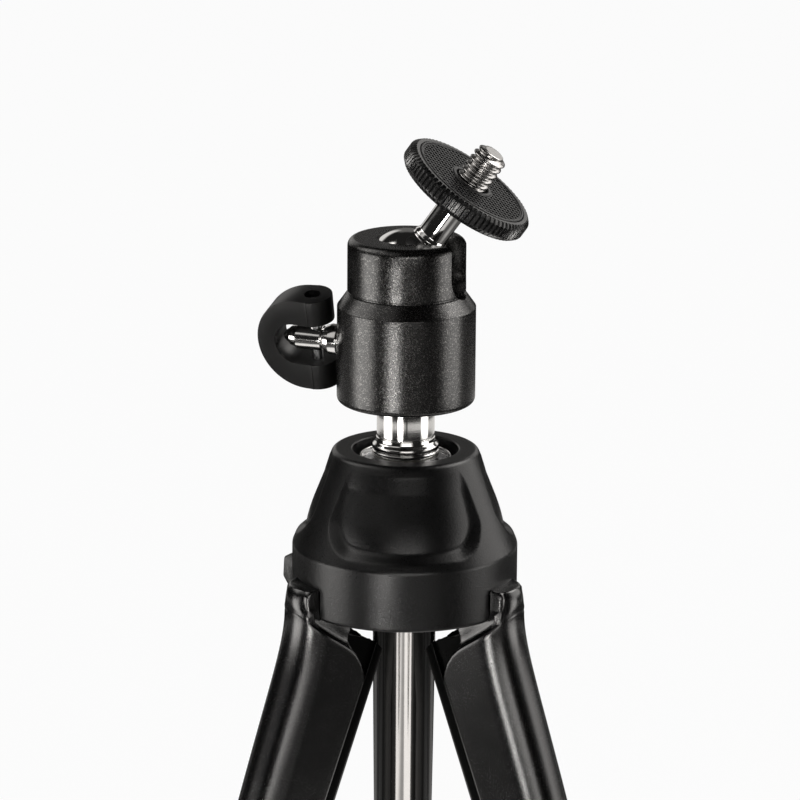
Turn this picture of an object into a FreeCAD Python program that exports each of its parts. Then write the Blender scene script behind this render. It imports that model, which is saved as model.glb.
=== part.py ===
"""Tabletop tripod with a ball head, modelled at rest with its legs spread.

Millimetres. The origin is on the table, under the middle of the column. +Z is up and +Y points
along the rear leg. The hub, the head and each leg are drawn in their own simple frames first:
the hub and the head with their upper face at height zero, a leg hanging straight down from its
hinge pin. Each is then turned and lifted to its place.
"""
import FreeCAD, Part
import math
import os

os.makedirs("parts", exist_ok=True)

V = FreeCAD.Vector
ORIGIN = V(0, 0, 0)
X_AXIS, Y_AXIS, Z_AXIS = V(1, 0, 0), V(0, 1, 0), V(0, 0, 1)

# Stance
spread = 20.0                   # degrees from upright to the open stop
leg_reach = 118.0               # hinge pin to table, along the leg
shell_end = 20.0                # how far the shell stops above the table, along the leg
tube_end = 6.0                  # and the sliding tube
leg_azimuths = (90.0, 210.0, 330.0)
lobe_azimuths = (270.0, 30.0, 150.0)

# Clearances
running_gap = 0.05              # a shaft in its bush, on the radius
slip_gap = 0.05                 # a tube in its bore, on the radius
side_gap = 0.35                 # a leg tongue between its ears, each side
seat_gap = 0.05                 # faces that turn on each other
wing_gap = 0.06

# Hub shell, heights below its upper face
hub_top_radius = 13.64
hub_skirt_radius = 21.3
hub_cone_height = 18.4
hub_height = 29.8
hub_wall = 2.2
hub_edge_round = 1.3
hub_shoulder_round = 2.0
recess_radius = 9.95
recess_depth = 3.2
top_plate = 2.4
panel_top_half = 10.4
panel_top_drop = 1.7
panel_half = 14.5
panel_wide_drop = 11.8
panel_bottom_drop = 16.8
panel_corner = 3.6
panel_sink = 1.5                # how deep a panel is at its lower corners
panel_step = 0.3                # how deep it is along its middle line
panel_lean = 0.23               # how far its rounding moves outwards, per mm of height
boss_radius = 3.0
boss_inset = 8.8

# Leg hinge in the hub
pin_inset = 6.7                 # all insets are measured in from the skirt
pin_rise = 5.3                  # all rises are measured up from the skirt's lower edge
pin_radius = 1.5
pin_length = 15.0
tongue_half = 4.2
tongue_round = 3.3
notch_rise = 6.0
ear_thickness = 2.6
ear_inset = 4.3
washer_thickness = 0.25
washer_radius = 2.7

# Hub core and column bearing
barrel_radius = 8.0
barrel_overhang = 1.7           # below the skirt's lower edge
bush_radius = 6.2
core_plate_top = 17.4
core_plate_thickness = 2.2
core_plate_inset = 5.4
core_screw_radius = 1.4
core_screw_head = 2.6
core_screw_length = 6.0

# Column
column_radius = 5.4
column_rise = 9.2               # from the hub's upper face to the head
flange_radius = 6.25
flange_round = 1.6
flange_top = 1.4
flange_bottom = 2.3
journal_radius = 4.6
spigot_radius = 3.1
spigot_length = 5.4
column_screw_radius = 1.5
column_screw_head = 2.9
column_screw_head_height = 2.0
column_screw_length = 8.0
column_washer_radius = 6.6
column_washer_thickness = 0.8

# Bearing cup and wave washer in the recess
cup_radius = 8.65
cup_wall = 0.35
cup_rim_drop = 1.3
cup_floor = 0.35
wave_ridges = (6.9, 7.6)        # radii of the washer's two ridges
wave_ridge_width = 0.3
wave_ridge_height = 0.5
wave_thickness = 0.3

# Column lever
lever_azimuth = 150.0
lever_pin_inset = 2.0
lever_pin_rise = 2.8
lever_pin_radius = 0.7
lever_half = 3.9
lever_cam = 2.25
lever_proud = 3.2               # how far the lever stands out of the skirt
lever_tail = 6.0                # from the lever's pin down to its tip
lever_window_half = 4.25
lever_window_height = 6.0       # above the lever's pin
shoe_half = 2.4
shoe_height = 3.6
shoe_gap = 0.1

# Head housing, heights below its upper face
neck_radius = 11.1
neck_height = 10.4
neck_edge_round = 1.5
shoulder_drop = 2.6
housing_radius = 13.0
housing_height = 31.4
housing_edge_round = 1.0
ball_radius = 7.9
ball_drop = 6.2
socket_gap = 0.08
mouth_radius = 5.6
slot_azimuth = -19.0
slot_width = 8.6
slot_depth = 10.9
plug_radius = 9.4
plug_height = 6.1

# Ball seat and plunger
seat_top_drop = 9.9
seat_rise = 3.3                 # seat's lower face above the spindle's axis
plunger_room = 0.3              # between the plunger and the plug
plunger_hole = 2.7

# Stem, screw and platform, measured from the ball's centre
tilt = 35.0
tilt_azimuth = -13.0
stem_radius = 2.85
stem_collar_radius = 3.3
stem_length = 17.6
screw_radius = 3.175
screw_neck_radius = 2.9
screw_spigot_radius = 1.6
screw_spigot_length = 6.0
screw_reach = 6.9               # above the pad
screw_tip_chamfer = 0.7
wheel_radius = 13.3
wheel_thickness = 3.8
wheel_chamfer = 0.8
wheel_ribs = 76
wheel_rib_depth = 0.45
pad_radius = 11.6
pad_thickness = 1.0
pad_proud = 0.15

# Lock spindle and wing, measured out from the column axis
spindle_azimuth = 160.0
spindle_rise = 10.5             # above the housing's lower face
spindle_lean = 14.0             # degrees the wing is turned about the spindle
shank_radius = 2.4
shank_inner = 6.0
cone_inner = 3.2
cone_tip_radius = 0.8
collar_start = 13.2
collar_end = 16.0
collar_radius = 2.9
waist_radius = 1.9
waist_end = 16.5
head_start = 16.5
head_cylinder_end = 21.6
head_radius = 2.4
head_end = 24.7
wing_pin_reach = 18.0
wing_pin_radius = 1.0
wing_pin_recess = 1.2
wing_recess_radius = 1.6
wing_centre = 19.7
wing_outer = 9.2
wing_inner = 4.1
wing_slot_end = 25.2
wing_boss = 3.8
wing_rim_half = 2.6             # half depth at the outer rim

# Leg, measured from the hinge pin with the leg hanging down: x outwards, y across
leg_top = 7.0
leg_stations = 14               # cross-sections along the shell
leg_crown_top = 6.3             # crown under the shoulder
leg_crown_fall = 4.9            # how much the crown comes in by the lower end
leg_half_top = 6.05
leg_half_fall = 0.75
leg_flare = 2.1                 # how far the shoulder stands out at the very top
leg_flare_length = 5.0
leg_inner = -9.0
leg_crown_sag = 4.2
leg_corner = 1.0
leg_shoulder_drop = 6.8
leg_shoulder_fall = 5.1
leg_shoulder_round = 6.0
leg_channel_half = 4.25
leg_channel_wall = 3.5          # crown to channel
leg_channel_top = 14.0          # of the channel's deep part
leg_neck_top = 8.0              # of its shallow part, which only clears the tube
leg_neck_room = 0.15
tube_x = -6.9
upper_tube_radius = 3.3
upper_tube_wall = 0.45
upper_tube_top = 9.0
lower_tube_wall = 0.5
liner_half = 4.2
liner_front = -3.0
liner_face = -12.7
liner_face_half = 2.9
liner_bend = -11.4              # where its sides turn in towards the face
liner_bend_half = 4.6
liner_flange_half = 5.2
liner_fit = 0.05
liner_top = 8.5
liner_top_fall = 1.9
slot_top_half = 1.7
slot_half = 2.4
slot_widen_drop = 30.0
collar_height = 5.0
collar_x_out = 0.9
collar_x_in = -12.8
collar_half = 5.2
collar_corner = 2.6
collar_inner_corner = 3.4
collar_counterbore = 2.0
tube_stop_length = 6.0
lower_tube_top = 26.0
foot_radius = 5.4
foot_neck_radius = 4.4
foot_gap = 0.4
foot_overrun = 3.0
foot_edge_round = 1.0

# Worked-out places
spread_rad = math.radians(spread)
lower_tube_radius = upper_tube_radius - upper_tube_wall - slip_gap
pin_height = leg_reach * math.cos(spread_rad) - tube_x * math.sin(spread_rad)
pin_drop = hub_height - pin_rise
hub_z = pin_height + pin_drop
head_z = hub_z + column_rise + housing_height
pin_circle = hub_skirt_radius - pin_inset
ear_reach = hub_skirt_radius - ear_inset
core_plate_radius = hub_skirt_radius - core_plate_inset
boss_circle = hub_skirt_radius - boss_inset
lever_pin_circle = hub_skirt_radius - lever_pin_inset
lever_crest = hub_skirt_radius + lever_proud
notch_drop = hub_height - notch_rise
barrel_drop = hub_height + barrel_overhang
lever_pin_drop = hub_height - lever_pin_rise
leg_bottom = leg_reach - shell_end
lower_tube_bottom = leg_reach - tube_end
spindle_drop = housing_height - spindle_rise
seat_bottom_drop = spindle_drop - seat_rise
plunger_bottom_drop = housing_height - plug_height - plunger_room
platform_length = stem_length + wheel_thickness
recess_floor = -recess_depth


def rounded_wire(corners, height=0.0):
    """Closed wire in the XZ plane at y = height; each corner is (x, z, radius)."""
    count = len(corners)
    starts, ends, arcs = [], [], []
    for index in range(count):
        x, z, radius = corners[index]
        before, after = corners[index - 1], corners[(index + 1) % count]
        corner = V(x, height, z)
        back = V(before[0] - x, 0, before[1] - z).normalize()
        ahead = V(after[0] - x, 0, after[1] - z).normalize()
        if radius <= 0:
            starts.append(corner)
            ends.append(corner)
            arcs.append(None)
            continue
        half_turn = math.acos(max(-1.0, min(1.0, back.dot(ahead)))) / 2
        tangent = radius / math.tan(half_turn)
        bisector = (back + ahead).normalize()
        middle = corner + bisector * (radius / math.sin(half_turn) - radius)
        starts.append(corner + back * tangent)
        ends.append(corner + ahead * tangent)
        arcs.append(middle)
    edges = []
    for index in range(count):
        if arcs[index] is not None:
            edges.append(Part.Arc(starts[index], arcs[index], ends[index]).toShape())
        following = starts[(index + 1) % count]
        if ends[index].distanceToPoint(following) > 1e-6:
            edges.append(Part.makeLine(ends[index], following))
    return Part.Wire(edges)


def turned(corners):
    """Body turned about Z from a half outline of (radius, z, corner radius)."""
    face = Part.Face(rounded_wire(corners))
    return face.revolve(ORIGIN, Z_AXIS, 360)


def plate(corners, low, high):
    """Outline of (x, z, corner radius) given thickness from y = low to y = high."""
    face = Part.Face(rounded_wire(corners, low))
    return face.extrude(V(0, high - low, 0))


def rod(radius, low, high, x=0.0, y=0.0):
    """Upright cylinder from z = low to z = high."""
    return Part.makeCylinder(radius, high - low, V(x, y, low), Z_AXIS)


def bar(radius, low, high, direction, through=ORIGIN):
    """Cylinder along any direction, between two distances from a point."""
    return Part.makeCylinder(radius, high - low, through + direction * low, direction)


def block(x0, x1, y0, y1, z0, z1):
    return Part.makeBox(x1 - x0, y1 - y0, z1 - z0, V(x0, y0, z0))


def fused(*shapes):
    result = shapes[0]
    for shape in shapes[1:]:
        result = result.fuse(shape)
    return result.removeSplitter()


def around(shape, azimuth):
    """Copy of a shape drawn along +X, turned about Z to an azimuth in degrees."""
    return shape.rotated(ORIGIN, Z_AXIS, azimuth)


def cone_at(drop):
    """Radius of the hub's outer cone at a depth below its upper face."""
    return hub_top_radius + (hub_skirt_radius - hub_top_radius) * drop / hub_cone_height


def write(name, shape, lift=0.0):
    """Lift a finished piece to its height and write it."""
    placed = shape.translated(V(0, 0, lift))
    if not placed.isValid():
        print("NOT VALID", name)
    placed.exportStep("parts/%s.step" % name)
    print("%-18s solids %2d  volume %9.2f" % (name, len(placed.Solids), placed.Volume))


# Hub shell

def hub_panel_cutter():
    """What one sunk panel takes away, on +X: a shield outline outside a cone skewed outwards."""
    outline = [
        (-panel_top_half, -panel_top_drop, 0),
        (-panel_half, -panel_wide_drop, 6.0),
        (-panel_half + 1.2, -panel_bottom_drop, panel_corner),
        (panel_half - 1.2, -panel_bottom_drop, panel_corner),
        (panel_half, -panel_wide_drop, 6.0),
        (panel_top_half, -panel_top_drop, 0),
    ]
    prism = plate(outline, -hub_skirt_radius - 5, -4.0).rotated(ORIGIN, Z_AXIS, 90)
    rims = []
    for drop in (panel_top_drop - 0.2, panel_bottom_drop + 0.5):
        shift = panel_lean * (drop - panel_top_drop + 0.2)
        radius = cone_at(drop) - panel_step - shift
        rims.append(Part.Wire(Part.makeCircle(radius, V(shift, 0, -drop), Z_AXIS)))
    floor = Part.makeLoft(rims, True, True)
    above = rod(cone_at(panel_top_drop - 0.2) - panel_step, -panel_top_drop + 0.2, 1.0)
    return prism.cut(floor).cut(above)


def hub_shell():
    cavity_top = recess_depth + top_plate
    cavity_low = cone_at(panel_bottom_drop) - panel_sink - hub_wall
    body = turned([
        (0, 0, 0),
        (hub_top_radius, 0, hub_edge_round),
        (hub_skirt_radius, -hub_cone_height, hub_shoulder_round),
        (hub_skirt_radius, -hub_height, 0.5),
        (0, -hub_height, 0),
    ])
    cavity = turned([
        (0, -cavity_top, 0),
        (cone_at(cavity_top) - hub_wall - 1.6, -cavity_top, 1.0),
        (cavity_low, -core_plate_top + 0.4, 0.5),
        (hub_skirt_radius - hub_wall, -hub_cone_height - 0.6, 0.5),
        (hub_skirt_radius - hub_wall, -hub_height - 1, 0),
        (0, -hub_height - 1, 0),
    ])
    body = body.cut(cavity)
    body = body.cut(rod(recess_radius, -recess_depth, 1))
    body = body.cut(rod(barrel_radius + seat_gap, -cavity_top - 1, 0))
    for azimuth in lobe_azimuths:
        body = body.cut(around(hub_panel_cutter(), azimuth))
    for azimuth in leg_azimuths:
        notch = block(pin_circle - 2, hub_skirt_radius + 3, -tongue_half - side_gap,
                      tongue_half + side_gap, -hub_height - 1, -notch_drop)
        body = body.cut(around(notch, azimuth))
    window = block(pin_circle, hub_skirt_radius + 3, -lever_window_half, lever_window_half,
                   -hub_height - 1, -lever_pin_drop + lever_window_height)
    lever_hole = bar(lever_pin_radius, -6.0, 6.0, Y_AXIS, V(lever_pin_circle, 0, -lever_pin_drop))
    body = body.cut(around(fused(window, lever_hole), lever_azimuth))
    for azimuth in lobe_azimuths[:2]:
        boss = rod(boss_radius, -core_plate_top, -9.5, boss_circle)
        pilot = rod(core_screw_radius, -core_plate_top - 1, -core_plate_top + core_screw_length,
                    boss_circle)
        body = body.fuse(around(boss, azimuth)).cut(around(pilot, azimuth))
    return body.removeSplitter()


def hub_core():
    """Bearing barrel, a fixing plate and three pairs of ears for the leg pins."""
    plate_low = -core_plate_top - core_plate_thickness
    body = fused(rod(barrel_radius, -barrel_drop, -recess_depth),
                 rod(core_plate_radius, plate_low, -core_plate_top))
    ear_inner = tongue_half + side_gap
    ear_outline = [
        (barrel_radius - 1.5, plate_low + 0.5, 0),
        (ear_reach, plate_low + 0.5, 0),
        (ear_reach, -pin_drop - 3.2, 2.2),
        (barrel_radius - 1.5, -pin_drop - 5.6, 0),
    ]
    for azimuth in leg_azimuths:
        for low in (ear_inner, -ear_inner - ear_thickness):
            body = body.fuse(around(plate(ear_outline, low, low + ear_thickness), azimuth))
    for azimuth in leg_azimuths:
        pin_hole = bar(pin_radius, -pin_length, pin_length, Y_AXIS, V(pin_circle, 0, -pin_drop))
        tongue_room = bar(tongue_round + 0.3, -ear_inner, ear_inner, Y_AXIS,
                          V(pin_circle, 0, -pin_drop))
        body = body.cut(around(fused(pin_hole, tongue_room), azimuth))
    body = body.cut(rod(bush_radius, -barrel_drop - 1, 0))
    shoe_room = block(0, barrel_radius + 2, -shoe_half - slip_gap, shoe_half + slip_gap,
                      -lever_pin_drop - shoe_height / 2 - slip_gap,
                      -lever_pin_drop + shoe_height / 2 + slip_gap)
    body = body.cut(around(shoe_room, lever_azimuth))
    for azimuth in lobe_azimuths[:2]:
        body = body.cut(around(rod(core_screw_radius, plate_low - 1, 0, boss_circle), azimuth))
    return body.removeSplitter()


def column_bushing():
    body = turned([
        (journal_radius + running_gap, -recess_depth, 0),
        (bush_radius, -recess_depth, 0),
        (bush_radius, -barrel_drop, 0),
        (journal_radius + running_gap, -barrel_drop, 0.3),
    ])
    shoe_room = block(0, bush_radius + 2, -shoe_half - slip_gap, shoe_half + slip_gap,
                      -lever_pin_drop - shoe_height / 2 - slip_gap,
                      -lever_pin_drop + shoe_height / 2 + slip_gap)
    return body.cut(around(shoe_room, lever_azimuth))


def bearing_cup():
    """Thin pressed cup standing on the recess floor round the flange."""
    return turned([
        (flange_radius + 0.35, recess_floor, 0),
        (cup_radius, recess_floor, 0.3),
        (cup_radius, -cup_rim_drop, 0.12),
        (cup_radius - cup_wall, -cup_rim_drop, 0.12),
        (cup_radius - cup_wall, recess_floor + cup_floor, 0),
        (flange_radius + 0.35, recess_floor + cup_floor, 0),
    ])


def wave_washer():
    """Flat spring ring with two raised ridges, lying in the cup."""
    low = recess_floor + cup_floor
    ring = rod(cup_radius - cup_wall - 0.1, low, low + wave_thickness)
    for radius in wave_ridges:
        ridge = rod(radius + wave_ridge_width / 2, low, low + wave_thickness + wave_ridge_height)
        ridge = ridge.cut(rod(radius - wave_ridge_width / 2, low - 1, 0))
        ring = ring.fuse(ridge)
    return ring.cut(rod(flange_radius + 0.4, low - 1, 0)).removeSplitter()


def hinge_pins():
    pin = bar(pin_radius, -pin_length / 2, pin_length / 2, Y_AXIS, V(pin_circle, 0, -pin_drop))
    return Part.makeCompound([around(pin, azimuth) for azimuth in leg_azimuths])


def hinge_washers():
    washers = []
    for azimuth in leg_azimuths:
        for side in (-1, 1):
            inner = tongue_half + side_gap - washer_thickness
            low = inner if side > 0 else -inner - washer_thickness
            centre = V(pin_circle, 0, -pin_drop)
            ring = bar(washer_radius, low, low + washer_thickness, Y_AXIS, centre)
            ring = ring.cut(bar(pin_radius, low - 1, low + 2, Y_AXIS, centre))
            washers.append(around(ring, azimuth))
    return Part.makeCompound(washers)


def core_screws():
    """Screws from below, through the core plate into the shell's bosses."""
    head_top = -core_plate_top - core_plate_thickness
    screw = turned([
        (0, head_top - 1.9, 0),
        (core_screw_head, head_top - 1.9, 0.9),
        (core_screw_head, head_top, 0),
        (core_screw_radius, head_top, 0),
        (core_screw_radius, head_top + core_screw_length, 0.4),
        (0, head_top + core_screw_length, 0),
    ]).translated(V(boss_circle, 0, 0))
    return Part.makeCompound([around(screw, azimuth) for azimuth in lobe_azimuths[:2]])


def lever_pin():
    pin = bar(lever_pin_radius, -5.6, 5.6, Y_AXIS, V(lever_pin_circle, 0, -lever_pin_drop))
    return around(pin, lever_azimuth)


def column_lever():
    """Cam lever: a thick head outside the skirt and a thin tail below its edge."""
    outline = [
        (lever_pin_circle + 0.6, lever_cam - 0.15, 0.3),
        (hub_skirt_radius + 0.9, 3.9, 0.5),
        (lever_crest, 2.6, 0.8),
        (lever_crest + 0.2, -1.2, 0.8),
        (hub_skirt_radius + 2.1, -3.2, 0.8),
        (hub_skirt_radius + 1.8, 0.7 - lever_tail, 0.6),
        (hub_skirt_radius + 1.1, -lever_tail, 0.3),
        (hub_skirt_radius + 0.4, -lever_tail, 0.3),
        (hub_skirt_radius + 0.3, -lever_cam, 0.5),
        (lever_pin_circle - 0.4, -lever_cam, 0.5),
    ]
    centre = V(lever_pin_circle, 0, 0)
    body = fused(plate(outline, -lever_half, lever_half),
                 bar(lever_cam, -lever_half, lever_half, Y_AXIS, centre))
    body = body.cut(bar(lever_pin_radius + running_gap, -6, 6, Y_AXIS, centre))
    return around(body, lever_azimuth).translated(V(0, 0, -lever_pin_drop))


def clamp_shoe():
    """Brake shoe in the core, hollowed to the column's journal."""
    outer = lever_pin_circle - lever_cam - shoe_gap
    body = block(0, outer, -shoe_half, shoe_half, -lever_pin_drop - shoe_height / 2,
                 -lever_pin_drop + shoe_height / 2)
    body = body.cut(rod(journal_radius + running_gap, -barrel_drop, 0))
    return around(body, lever_azimuth)


# Column

def centre_column():
    top = column_rise + spigot_length
    low = -barrel_drop - seat_gap
    body = turned([
        (0, top, 0),
        (spigot_radius, top, 0.4),
        (spigot_radius, column_rise, 0),
        (column_radius, column_rise, 0),
        (column_radius, flange_top, 0.8),
        (flange_radius, flange_top - flange_round, 0.5),
        (flange_radius, -flange_bottom, 0.4),
        (journal_radius, -recess_depth + seat_gap, 0.3),
        (journal_radius, low, 0),
        (0, low, 0),
    ])
    return body.cut(rod(column_screw_radius, low - 1, low + column_screw_length))


def column_washer():
    high = -barrel_drop - seat_gap
    ring = rod(column_washer_radius, high - column_washer_thickness, high)
    return ring.cut(rod(column_screw_radius, high - 3, high + 1))


def column_screw():
    head_top = -barrel_drop - seat_gap - column_washer_thickness
    head_low = head_top - column_screw_head_height
    return turned([
        (0, head_low, 0),
        (column_screw_head, head_low, 0.9),
        (column_screw_head, head_top, 0),
        (column_screw_radius, head_top, 0),
        (column_screw_radius, head_top + column_screw_length, 0.4),
        (0, head_top + column_screw_length, 0),
    ])


# Head

def head_housing():
    body = turned([
        (0, 0, 0),
        (neck_radius, 0, neck_edge_round),
        (neck_radius, -neck_height, 0.3),
        (housing_radius, -neck_height - shoulder_drop, 0.5),
        (housing_radius, -housing_height, housing_edge_round),
        (0, -housing_height, 0),
    ])
    socket = ball_radius + socket_gap
    body = body.cut(Part.makeSphere(socket, V(0, 0, -ball_drop)))
    body = body.cut(rod(socket, -housing_height + 1, -ball_drop))
    body = body.cut(rod(mouth_radius, -ball_drop, 1))
    body = body.cut(rod(plug_radius, -housing_height - 1, -housing_height + plug_height))
    slot_round = slot_width / 2
    slot_axis_drop = slot_depth - slot_round
    slot = fused(block(0, housing_radius + 2, -slot_round, slot_round, -slot_axis_drop, 2),
                 bar(slot_round, 0, housing_radius + 2, X_AXIS, V(0, 0, -slot_axis_drop)))
    body = body.cut(around(slot, slot_azimuth))
    hole = bar(shank_radius + running_gap, 0, housing_radius + 2, X_AXIS, V(0, 0, -spindle_drop))
    return body.cut(around(hole, spindle_azimuth)).removeSplitter()


def base_plug():
    low = -housing_height
    ring = rod(plug_radius, low, low + plug_height)
    return ring.cut(rod(spigot_radius, low - 1, low + plug_height + 1))


def ball_seat():
    """Cup that bears on the ball from below."""
    radius = ball_radius + socket_gap - 0.02
    body = rod(radius, -seat_bottom_drop, -seat_top_drop)
    return body.cut(Part.makeSphere(ball_radius + socket_gap, V(0, 0, -ball_drop)))


def plunger():
    """Pusher under the seat, cross-bored for the spindle's cone."""
    radius = ball_radius + socket_gap - 0.1
    body = rod(radius, -plunger_bottom_drop, -seat_bottom_drop - seat_gap)
    hole = bar(plunger_hole, cone_inner - 1.2, housing_radius, X_AXIS, V(0, 0, -spindle_drop))
    return body.cut(around(hole, spindle_azimuth))


# Ball, screw and platform, drawn upright on the ball's centre

def tilted(shape):
    """Lean a piece drawn upright on the ball's centre to its rest tilt, in the head's frame."""
    leaned = shape.rotated(ORIGIN, Y_AXIS, tilt)
    return around(leaned, tilt_azimuth).translated(V(0, 0, -ball_drop))


def ball_stem():
    collar_low = math.sqrt(ball_radius ** 2 - stem_collar_radius ** 2) - 0.3
    stem = turned([
        (0, 0, 0),
        (stem_collar_radius, 0, 0),
        (stem_collar_radius, collar_low + 0.6, 0.3),
        (stem_radius, collar_low + 1.5, 0.4),
        (stem_radius, stem_length, 0.2),
        (0, stem_length, 0),
    ])
    body = fused(Part.makeSphere(ball_radius), stem)
    body = body.cut(rod(screw_spigot_radius, stem_length - screw_spigot_length, stem_length + 1))
    return body


def camera_screw():
    pad_top = platform_length + pad_proud
    return turned([
        (0, stem_length - screw_spigot_length, 0),
        (screw_spigot_radius, stem_length - screw_spigot_length, 0),
        (screw_spigot_radius, stem_length, 0),
        (screw_neck_radius, stem_length, 0),
        (screw_neck_radius, pad_top, 0),
        (screw_radius, pad_top, 0),
        (screw_radius, pad_top + screw_reach - screw_tip_chamfer, 0),
        (screw_radius - screw_tip_chamfer, pad_top + screw_reach, 0),
        (0, pad_top + screw_reach, 0),
    ])


def platform_wheel():
    """Finger wheel with straight ribs, sunk on top for the pad."""
    points = []
    for index in range(2 * wheel_ribs):
        angle = math.pi * index / wheel_ribs
        radius = wheel_radius - (wheel_rib_depth if index % 2 else 0.0)
        points.append(V(radius * math.cos(angle), radius * math.sin(angle), stem_length))
    points.append(points[0])
    body = Part.Face(Part.makePolygon(points)).extrude(V(0, 0, wheel_thickness))
    rim = wheel_radius + 0.01
    blank = turned([
        (0, stem_length, 0),
        (rim - wheel_chamfer, stem_length, 0),
        (rim, stem_length + wheel_chamfer, 0),
        (rim, platform_length - wheel_chamfer, 0),
        (rim - wheel_chamfer, platform_length, 0),
        (0, platform_length, 0),
    ])
    body = body.common(blank)
    body = body.cut(rod(pad_radius, platform_length - pad_thickness + pad_proud, platform_length + 1))
    return body.cut(rod(screw_neck_radius + running_gap, stem_length - 1, platform_length + 1))


def rubber_pad():
    low = platform_length - pad_thickness + pad_proud
    body = rod(pad_radius, low, low + pad_thickness)
    return body.cut(rod(screw_radius + 0.35, low - 1, low + 2))


# Lock spindle and wing, drawn along +X at the spindle's height

def at_spindle(shape):
    """Turn a piece drawn along +X about the spindle, then set it in the head's frame."""
    leaned = shape.rotated(ORIGIN, X_AXIS, -spindle_lean)
    return around(leaned, spindle_azimuth).translated(V(0, 0, -spindle_drop))


def lock_spindle():
    outline = [
        (0, cone_inner, 0),
        (cone_tip_radius, cone_inner, 0),
        (shank_radius, shank_inner, 0),
        (shank_radius, collar_start, 0),
        (collar_radius, collar_start, 0.2),
        (collar_radius, collar_end, 0.3),
        (waist_radius, collar_end, 0),
        (waist_radius, waist_end, 0),
        (head_radius, head_start, 0.2),
        (head_radius, head_cylinder_end, 0.6),
        (head_radius - 1.4, head_end - 0.7, 0.5),
        (0, head_end, 0),
    ]
    body = turned(outline).rotated(ORIGIN, Y_AXIS, 90)
    return body.cut(bar(wing_pin_radius, -5, 5, Z_AXIS, V(wing_pin_reach, 0, 0)))


def wing_pin():
    half = wing_outer - wing_pin_recess
    return rod(wing_pin_radius, -half, half, wing_pin_reach)


def lock_wing():
    """C-shaped wing: a half ring on two arms, rounded about the pin at their ends."""
    arm_start = wing_pin_reach
    outer = fused(
        bar(wing_outer, -wing_boss, wing_boss, Y_AXIS, V(wing_centre, 0, 0)),
        block(wing_pin_reach - wing_boss, wing_centre, -wing_boss, wing_boss,
              -wing_outer, wing_outer))
    plan = fused(
        rod(wing_boss, -wing_outer - 1, wing_outer + 1, arm_start),
        Part.Face(Part.makePolygon([
            V(arm_start, -wing_boss, -wing_outer - 1),
            V(wing_centre + wing_outer + 1, -wing_rim_half, -wing_outer - 1),
            V(wing_centre + wing_outer + 1, wing_rim_half, -wing_outer - 1),
            V(arm_start, wing_boss, -wing_outer - 1),
            V(arm_start, -wing_boss, -wing_outer - 1),
        ])).extrude(V(0, 0, 2 * wing_outer + 2)))
    body = outer.common(plan)
    inner_centre = wing_slot_end - wing_inner
    body = body.cut(bar(wing_inner, -9, 9, Y_AXIS, V(inner_centre, 0, 0)))
    body = body.cut(block(0, inner_centre, -9, 9, -wing_inner, wing_inner))
    pin_hole = rod(wing_pin_radius + wing_gap, -wing_outer - 1, wing_outer + 1, wing_pin_reach)
    body = body.cut(pin_hole)
    for low in (-wing_outer - 1, wing_outer - wing_pin_recess):
        body = body.cut(rod(wing_recess_radius, low, low + 1 + wing_pin_recess, wing_pin_reach))
    return body.removeSplitter()


# Leg, drawn hanging down from the pin

def leg_crown(drop):
    """Distance of the shell's outer crown from the pin line at a depth down the leg."""
    share = max(0.0, drop - leg_top) / (leg_bottom - leg_top)
    flare = leg_flare * math.exp(-(drop - leg_top) / leg_flare_length)
    return leg_crown_top - leg_crown_fall * share ** 1.7 + flare


def leg_half(drop):
    share = max(0.0, drop - leg_top) / (leg_bottom - leg_top)
    return leg_half_top - leg_half_fall * share ** 1.4


def leg_section(drop):
    """One cross-section of the shell: flat inner side, round crown outwards."""
    z = -drop
    crown, half = leg_crown(drop), leg_half(drop)
    side = crown - leg_crown_sag
    low, high = leg_inner, leg_inner + leg_corner
    bend = leg_corner * (1 - math.sqrt(0.5))
    return Part.Wire([
        Part.makeLine(V(low, half - leg_corner, z), V(low, -half + leg_corner, z)),
        Part.Arc(V(low, -half + leg_corner, z), V(low + bend, -half + bend, z),
                 V(high, -half, z)).toShape(),
        Part.makeLine(V(high, -half, z), V(side, -half, z)),
        Part.Arc(V(side, -half, z), V(crown, 0, z), V(side, half, z)).toShape(),
        Part.makeLine(V(side, half, z), V(high, half, z)),
        Part.Arc(V(high, half, z), V(low + bend, half - bend, z),
                 V(low, half - leg_corner, z)).toShape(),
    ])


def hang(shape):
    """Spread a hanging leg to its open stop and move it to its pin, on +X."""
    spread_out = shape.rotated(ORIGIN, Y_AXIS, -spread)
    return spread_out.translated(V(pin_circle, 0, pin_height))


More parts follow.
